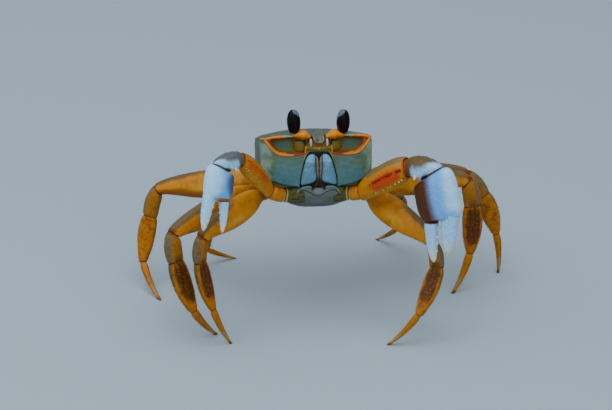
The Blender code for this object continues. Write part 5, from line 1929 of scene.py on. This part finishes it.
# Clear, wet cuticle over thousands of black lens tubes. It swallows light and gives back one soft highlight.
cornea, cornea_out = new_finish("wet_black_cornea")
place = add(cornea, "ShaderNodeTexCoord").outputs["Object"]
cloud = add(cornea, "ShaderNodeTexNoise", {"Vector": place, "Scale": 900.0, "Detail": 4.0}).outputs["Fac"]
mixed = {0: cloud, 6: colour("#060201"), 7: colour("#0E0503")}
hue = add(cornea, "ShaderNodeMix", mixed, data_type="RGBA").outputs[2]
# The cap layer is a painted reflection: slate blue on the cornea's upper inner side.
hue = laid_over(cornea, hue, cloud, [("painted_reflection", "#50647A", 0.5), ("warm", "#6A2C08", 0.5)], 0.3, 0.7)
wet = {"Base Color": hue, "Roughness": 0.36, "IOR": CORNEA_IOR, "Specular IOR Level": 0.16}
cornea_shader = add(cornea, "ShaderNodeBsdfPrincipled", wet)
cornea.node_tree.links.new(cornea_shader.outputs[0], cornea_out.inputs[0])
print("there are", len(bpy.data.materials) - solids_colours, "finishes in all, with the floor's")

# %% Eyes
EYE_FEET = {"right": (-8.35, -16.7, 8.4), "left": (8.6, -16.7, 8.1)}
EYE_LENGTH = 7.9
EYE_RADIUS = 2.35
EYE_LEAN = math.radians(2.5)
# The angle from the top at which the cornea's dome is cut off level to start it.
EYE_CUT = math.radians(34)
STALK_BENDS = np.array([(2.5, -16.3, 6.8), (3.7, -16.6, 7.1), (5.3, -16.9, 7.7), (6.9, -16.9, 7.8)])
STALK_RADII = (0.6, 1.05, 1.85, 1.25, 0.85, 0.9)
EYE_ROWS = 90


def eyestalk(name, side, foot, up):
    """A stalk: square ovals whose radii are the mean of a smooth and a straight run through the set ones."""
    stations = np.array([*(STALK_BENDS * (side, 1, 1)), foot - up * 0.5, foot])
    travel = travelled(stations)
    steps = np.linspace(0, travel[-1], EYE_ROWS)
    radius = (flowing(steps, travel, np.array(STALK_RADII)) + np.interp(steps, travel, STALK_RADII)) / 2
    radius = radius * np.sqrt(np.clip(1 - (1 - np.minimum(steps / 0.8, 1)) ** 2, 0.05, 1))
    rings, ways = along_path(flowing(steps, travel, stations), (0.0, 1.0, 0.0), radius, radius, 48, 1.55)
    masks = {
        "tip": fade(steps, travel[-1] - 0.6, travel[-1])[:, None],
        "shade": fade(-ways[..., 2], 0.1, 0.8),
    }
    nodes = [f"eyestalk_{name}"]
    lay(f"stalk_{name}", rings, stalk_finish, "eyestalk", *nodes, masks=masks, in_body=True)


def eyeball(name, side, foot, up):
    """A cornea: its height goes as the cosine and its radius as the sine of an angle, to the power 0.78."""
    angle = np.linspace(EYE_CUT, math.pi, EYE_ROWS)
    height = (math.cos(EYE_CUT) - np.cos(angle)) / (1 + math.cos(EYE_CUT))
    radius = EYE_RADIUS * np.sin(angle).clip(0) ** 0.78
    start = foot + up * GAP
    dome = start + up * (EYE_LENGTH * height)[:, None]
    dome = np.concatenate([np.repeat(dome[:1] - up * 0.12, 3, 0), dome[:-1]])
    radius = np.concatenate([radius[0] * np.array([0.3, 0.7, 0.93]), radius[:-1]])
    ups = np.broadcast_to(up, dome.shape)
    rings, ways = ovals(dome, ups, (0.0, 1.0, 0.0), radius, radius, radius, 64, 2.0)
    level = ((rings - start) * up).sum(-1) / EYE_LENGTH
    inner = -side * ways[..., 0]
    # Painted reflection: slate blue over the top of the cornea and in a strip down its inner side.
    painted_reflection = fade(level + 0.22 * inner, 0.74, 0.98) * fade(inner, -0.75, -0.1)
    masks = {
        "painted_reflection": np.maximum(painted_reflection, 0.7 * fade(level, 0.3, 0.6) * fade(inner, 0.86, 0.98)),
        "warm": fade(0.45 - level, 0.0, 0.3) * fade(inner, 0.6, 0.95),
    }
    lay(f"cornea_{name}", rings, cornea, "eye", f"eye_{name}", masks=masks, in_body=True)


for name, side in SIDES.items():
    foot, up = np.array(EYE_FEET[name]), np.array([side * math.sin(EYE_LEAN), 0.0, math.cos(EYE_LEAN)])
    eyestalk(name, side, foot, up)
    eyeball(name, side, foot, up)
print("each cornea is", EYE_LENGTH, "mm tall and", 2 * EYE_RADIUS, "mm wide")
